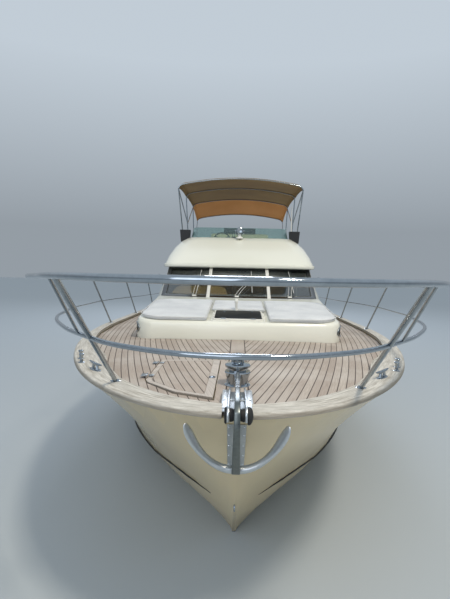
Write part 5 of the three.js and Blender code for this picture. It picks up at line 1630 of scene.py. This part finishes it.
def make_wiper(pivot_x, blade_x):
    """Two parallel arms from a spindle to the blade's middle, and the blade"""
    steel = []
    for shift in (-0.028, 0.028):
        line = [
            on_screen(pivot_x + shift, 0.03, 0.03),
            on_screen(pivot_x + shift + 0.3 * (blade_x - pivot_x), 0.2, 0.045),
            on_screen(blade_x + shift, 0.5, 0.03),
        ]
        steel.append(tube(line, 0.0035, sides=2))
    spindle = [on_screen(pivot_x + shift, 0.02, 0.014) for shift in (-0.035, 0.035)]
    steel.append(tube(spindle, 0.014))
    spine = [on_screen(blade_x, share, lift) for share, lift in ((0.14, 0.022), (0.5, 0.034), (0.86, 0.022))]
    steel.append(tube(spine, 0.005, sides=2))
    rubber = tube([on_screen(blade_x, 0.1, 0.01), on_screen(blade_x, 0.9, 0.01)], 0.005, sides=1)
    return joined(steel), rubber


arms, blades = zip(*[make_wiper(*row) for row in ((-0.03, 0.25), (0.93, 1.02), (-0.8, -0.77))])
finished("wiper_arms", joined(list(arms)), white_paint, angle=50)
finished("wiper_blades", joined(list(blades)), black_rubber, angle=50)
# Columns are y and z
DASH = (
    (-1.86, 2.272), (-1.72, 2.29), (-1.5, 2.335), (-1.3, 2.385), (-1.16, 2.42), (-1.08, 2.43),
    (-1.03, 2.405), (-1.012, 2.34), (-1.008, 2.272),
)


def dash_point(u, v):
    """Point on the dashboard, which falls away in a round shoulder at its ends"""
    x = -1.3 + 1.08 * u
    y, z = DASH[round(v * (len(DASH) - 1))]
    shoulder = 1 - max(0, abs(2 * u - 1) - 0.72) ** 2 / 0.0784
    front = -1.86 + 0.85 * (1 - math.sqrt(max(0, shoulder))) * (1 if u > 0.5 else 0.3)
    return x, max(y, min(front, -1.05)), 2.2708 + (z - 2.272) * math.sqrt(max(0, shoulder))


dash = sheet(32, len(DASH) - 1, dash_point)
edit(dash, "EDGE")
fill_ends()
close()
finished("saloon_dashboard", tidied(dash), tan_vinyl, angle=50)

# Searchlight: a barrel in a yoke on a white pedestal
LAMP = (0, 0.2, 3.645)
barrel = [
    (0, -0.07), (0.04, -0.066), (0.062, -0.045), (0.066, -0.02), (0.066, 0.045), (0.072, 0.05),
    (0.072, 0.066), (0.062, 0.07), (0.06, 0.06), (0, 0.05),
]
yoke_line = [(0, 0.215, 3.56), (0.05, 0.215, 3.563), (0.088, 0.212, 3.585), (0.094, 0.205, 3.645)]
clamp = [(0, 0.062), (0.012, 0.062), (0.012, 0.09), (0.02, 0.092), (0.02, 0.104), (0, 0.106)]
parts = [turned(barrel, LAMP, (90, 0, 0), 40)]
for side in (1, -1):
    parts.append(tube([(side * x, y, z) for x, y, z in yoke_line], 0.008, sides=3))
    parts.append(turned(clamp, LAMP, (0, 90 * side, 0), 20))
finished("searchlight_lamp", joined(parts), polished_steel, "searchlight")
glass = turned([(0, 0.052), (0.06, 0.052), (0.06, 0.061), (0.03, 0.066), (0, 0.067)], LAMP, (90, 0, 0), 32)
finished("searchlight_glass", glass, lamp_glass)
pedestal = [
    (0, 3.47), (0.075, 3.47), (0.075, 3.497), (0.06, 3.505), (0.036, 3.52), (0.032, 3.55), (0.03, 3.572),
    (0, 3.574),
]
finished("searchlight_pedestal", turned(pedestal, (0, 0.215, 0)), white_paint)

# Side lights: a lens behind each black hood's outer front edge
for side, name, lens_finish in ((1, "port", red_lens), (-1, "starboard", green_lens)):
    lens = turned(
        [(0, 3.48), (0.022, 3.48), (0.025, 3.49), (0.025, 3.58), (0.022, 3.59), (0, 3.59)],
        (side * 1.366, 0.6, 0), steps=24,
    )
    finished("side_light_lens_" + name, lens, lens_finish)


# Helm instruments and throttles: the profiles of a dial's steel bezel, its black face and a lever's ball
BEZEL = ((0, 0), (0.05, 0), (0.05, 0.008), (0.044, 0.012), (0.04, 0.008), (0, 0.006))
FACE = ((0, 0.0065), (0.039, 0.0065), (0.039, 0.0085), (0, 0.0085))
BALL = ((0, -0.018), (0.012, -0.014), (0.016, 0), (0.012, 0.014), (0, 0.018))


def make_throttle():
    """Twin levers on a rounded box"""
    box = block((-0.05, -0.07, 0), (0.05, 0.07, 0.05), 0.015, 3)
    levers = [
        tube([(x, 0, 0.03), (x, 0.01, 0.1), (x * 1.3, 0.02, 0.15)], 0.006, sides=3)
        for x in (-0.022, 0.022)
    ]
    knobs = [turned(BALL, (x * 1.3, 0.02, 0.155), steps=16) for x in (-0.022, 0.022)]
    return joined([box] + knobs), joined(levers)


# Columns are the helm, its dials' places across, along and up, their tilt, and the throttle's place
HELMS = (
    ("flybridge", (-0.76, -0.63, -0.21, -0.08), 0.757, 3.464, -50.2, (-0.14, 0.63, 3.48)),
    ("saloon", (-1.09, -0.97, -0.47, -0.35), -0.658, 1.932, -63.4, (-0.4, -0.8, 1.93)),
)
for name, dials, y, z, tilt, throttle_place in HELMS:
    bezels = [turned(BEZEL, (x, y, z), (tilt, 0, 0)) for x in dials]
    faces = [turned(FACE, (x, y, z), (tilt, 0, 0)) for x in dials]
    box, levers = make_throttle()
    finished(name + "_gauge_bezels", joined(bezels + [placed(levers, throttle_place)]), polished_steel)
    finished(name + "_gauge_faces", joined(faces + [placed(box, throttle_place)]), black_plastic)

# Floors: teak on the cockpit sole, the platform and the flybridge, and varnished boards in the saloon
SOLE_Z = 0.9


def floor_plate(outline, low, thick, hole=None):
    """A flat layer of planks on a sole, with a hatch opening where there is one"""
    piece = plate(outline, low + 0.0005, low + thick)
    if hole:
        cut(piece, block((hole[0], hole[1], low - CUT_REACH), (hole[2], hole[3], low + CUT_REACH), 0))
    return rounded(piece, 0.0015, 1, 40)


cockpit_line = [(-1.63, 2.8), (1.63, 2.8), (1.63, 5.98), (-1.63, 5.98)]
cockpit_planks = floor_plate(cockpit_line, SOLE_Z, 0.007, (-0.506, 3.294, 0.506, 4.506))
finished("cockpit_sole_planks", cockpit_planks, teak_straight, angle=30)
saloon_line = [(-1.44, -0.99), (1.44, -0.99), (1.44, 2.5), (-1.44, 2.5)]
finished("saloon_sole_boards", floor_plate(saloon_line, SOLE_Z, 0.0018), dark_floor, angle=30)
platform_line = [(1.84, 6.36)] + arc(1.62, 7.02, 0.22, 0, 90, 6) + arc(
    -1.62, 7.02, 0.22, 90, 180, 6,
) + [(-1.84, 6.36)]
platform_planks = floor_plate(platform_line, 0.38, 0.008, (0.93, 6.2, 1.47, 6.62))
step_planks = floor_plate([(0.99, 6.33), (1.41, 6.33), (1.41, 6.57), (0.99, 6.57)], 0.64, 0.008)
finished("swim_platform_planks", joined([platform_planks, step_planks]), teak_straight, angle=30)
fly_line = [(-1.32, 0.98), (1.32, 0.98), (1.32, 4.1), (-0.76, 4.1), (-0.76, 3.28), (-1.32, 3.28)]
finished("flybridge_sole_planks", floor_plate(fly_line, 2.8805, 0.007), teak_straight, angle=30)

# Engine hatch rings, door frame and pull, gate latch
rings = []
for x, y in ((-0.3, 4.43), (0.3, 4.43)):
    cup = turned(
        [
            (0, SOLE_Z - 0.0008), (0.034, SOLE_Z - 0.0008), (0.034, SOLE_Z + 0.002),
            (0.028, SOLE_Z + 0.003), (0.024, SOLE_Z), (0, SOLE_Z),
        ],
        (x, y, 0), steps=24,
    )
    pull = tube(
        [(x + a, y + b, SOLE_Z + 0.004) for a, b in arc(0, 0, 0.02, 0, 345, 23)], 0.003, closed=True,
        sides=2, steps=1,
    )
    rings += [cup, pull]
finished("engine_hatch_rings", joined(rings), polished_steel, body="engine_hatch")
door_low, door_high = (Vector(corner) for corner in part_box("saloon_door"))
door_middle = (door_low + door_high) / 2
door_half = (door_high - door_low) / 2
door_rim = make_ring(
    (door_half.x, door_half.z, 0.01), (door_half.x - 0.05, door_half.z - 0.07, 0.02), -door_half.y - 0.001,
    door_half.y + 0.001, 0.003,
)
finished("saloon_door_frame", placed(door_rim, door_middle, (90, 0, 0)), brushed_steel, body="saloon_door")
pull_x = door_high.x - 0.03
pull_line = [
    (pull_x, door_high.y, 1.65), (pull_x, door_high.y + 0.035, 1.66), (pull_x, door_high.y + 0.035, 1.95),
    (pull_x, door_high.y, 1.96),
]
finished("saloon_door_pull", tube(pull_line, 0.008, sides=3, steps=4), polished_steel, body="saloon_door")
gate_latch = joined([
    block((0.925, 6.236, 1.42), (0.985, 6.242, 1.5), 0.002),
    tube(
        [(0.955, 6.238, 1.46), (0.955, 6.215, 1.46), (1.0, 6.212, 1.46), (1.04, 6.212, 1.46)], 0.007,
        sides=3,
    ),
])
finished("transom_gate_latch", gate_latch, polished_steel, body="transom_gate")

# Awning hem and lacing
hem_lines = []
half_steps = 24
for y, crown, half in (AWNING_BOWS[0], AWNING_BOWS[-1]):
    shares = [-1 + 2 * i / half_steps for i in range(half_steps + 1)]
    hem_lines.append([(half * s, y, crown - awning_drop(s) + BOW_TUBE + 0.003) for s in shares])
for side in (1, -1):
    ys = [AWNING_BOWS[0][0] + (AWNING_BOWS[-1][0] - AWNING_BOWS[0][0]) * i / 40 for i in range(41)]
    edge_line = []
    for y in ys:
        crown, half = bow_at(y)
        gap = min(abs(y - bow[0]) for bow in AWNING_BOWS)
        edge_line.append((side * half, y, crown - BOW_DROP + AWNING_SCALLOP * min(1, gap / 0.5) + BOW_TUBE))
    hem_lines.append(edge_line)
hems = [tube(line, 0.006, sides=2, steps=2) for line in hem_lines]
finished("awning_hem", joined(hems), awning_cloth, angle=60)
lacing_line = []
LACE_TURNS = 44
front_y, front_crown, front_half = AWNING_BOWS[0]
for i in range(LACE_TURNS * 6 + 1):
    share = -0.93 + 1.86 * i / (LACE_TURNS * 6)
    turn = TURN * i / 6
    reach = BOW_TUBE + 0.006
    lacing_line.append(
        (
            front_half * share, front_y + reach * math.cos(turn),
            front_crown - awning_drop(share) + reach * math.sin(turn),
        )
    )
finished("awning_lacing", tube(lacing_line, 0.0025, sides=1, steps=1), white_paint, angle=60, slot="canvas")

# Floor and light
floor = added("plane", size=160, location=(0, 0, 0))
floor.name = "floor"
floor.data.materials.append(started("pale_floor", "a9b0b4", 0.6)[0])


def area_light(name, place, target, size, power, colour):
    """Adds a soft square light aimed at a target"""
    data = bpy.data.lights.new(name, "AREA")
    data.size = size
    data.energy = power
    data.color = linear(colour)[:3]
    lamp = bpy.data.objects.new(name, data)
    bpy.context.scene.collection.objects.link(lamp)
    lamp.location = place
    lamp.rotation_euler = (Vector(target) - Vector(place)).to_track_quat("-Z", "Y").to_euler()


area_light("key", (7, -13, 18.5), (0, -3, 1.5), 2.5, 2350, "fff4e2")
area_light("fill", (-6, -20, 10), (0, -2, 1.5), 12, 900, "eef4ff")
area_light("back", (0, 19, 13), (0, 3, 2), 5, 1300, "eaf1ff")


def make_studio(world):
    """Soft studio sky: bright overhead, with a darker wall at the horizon that gives metal its bands"""
    world.use_nodes = True
    tree = world.node_tree
    height = put(tree, "SeparateXYZ", put(tree, "TexCoord")).node.outputs["Z"]
    wall = put(tree, "MapRange", height, 0.08, 0.4, 0.42, 0.76)
    tree.links.new(wall, tree.nodes["Background"].inputs["Strength"])
    tree.nodes["Background"].inputs["Color"].default_value = linear("dbe7f2")


world = bpy.data.worlds.new("studio")
bpy.context.scene.world = world
make_studio(world)
bpy.context.scene.view_settings.view_transform = "Standard"
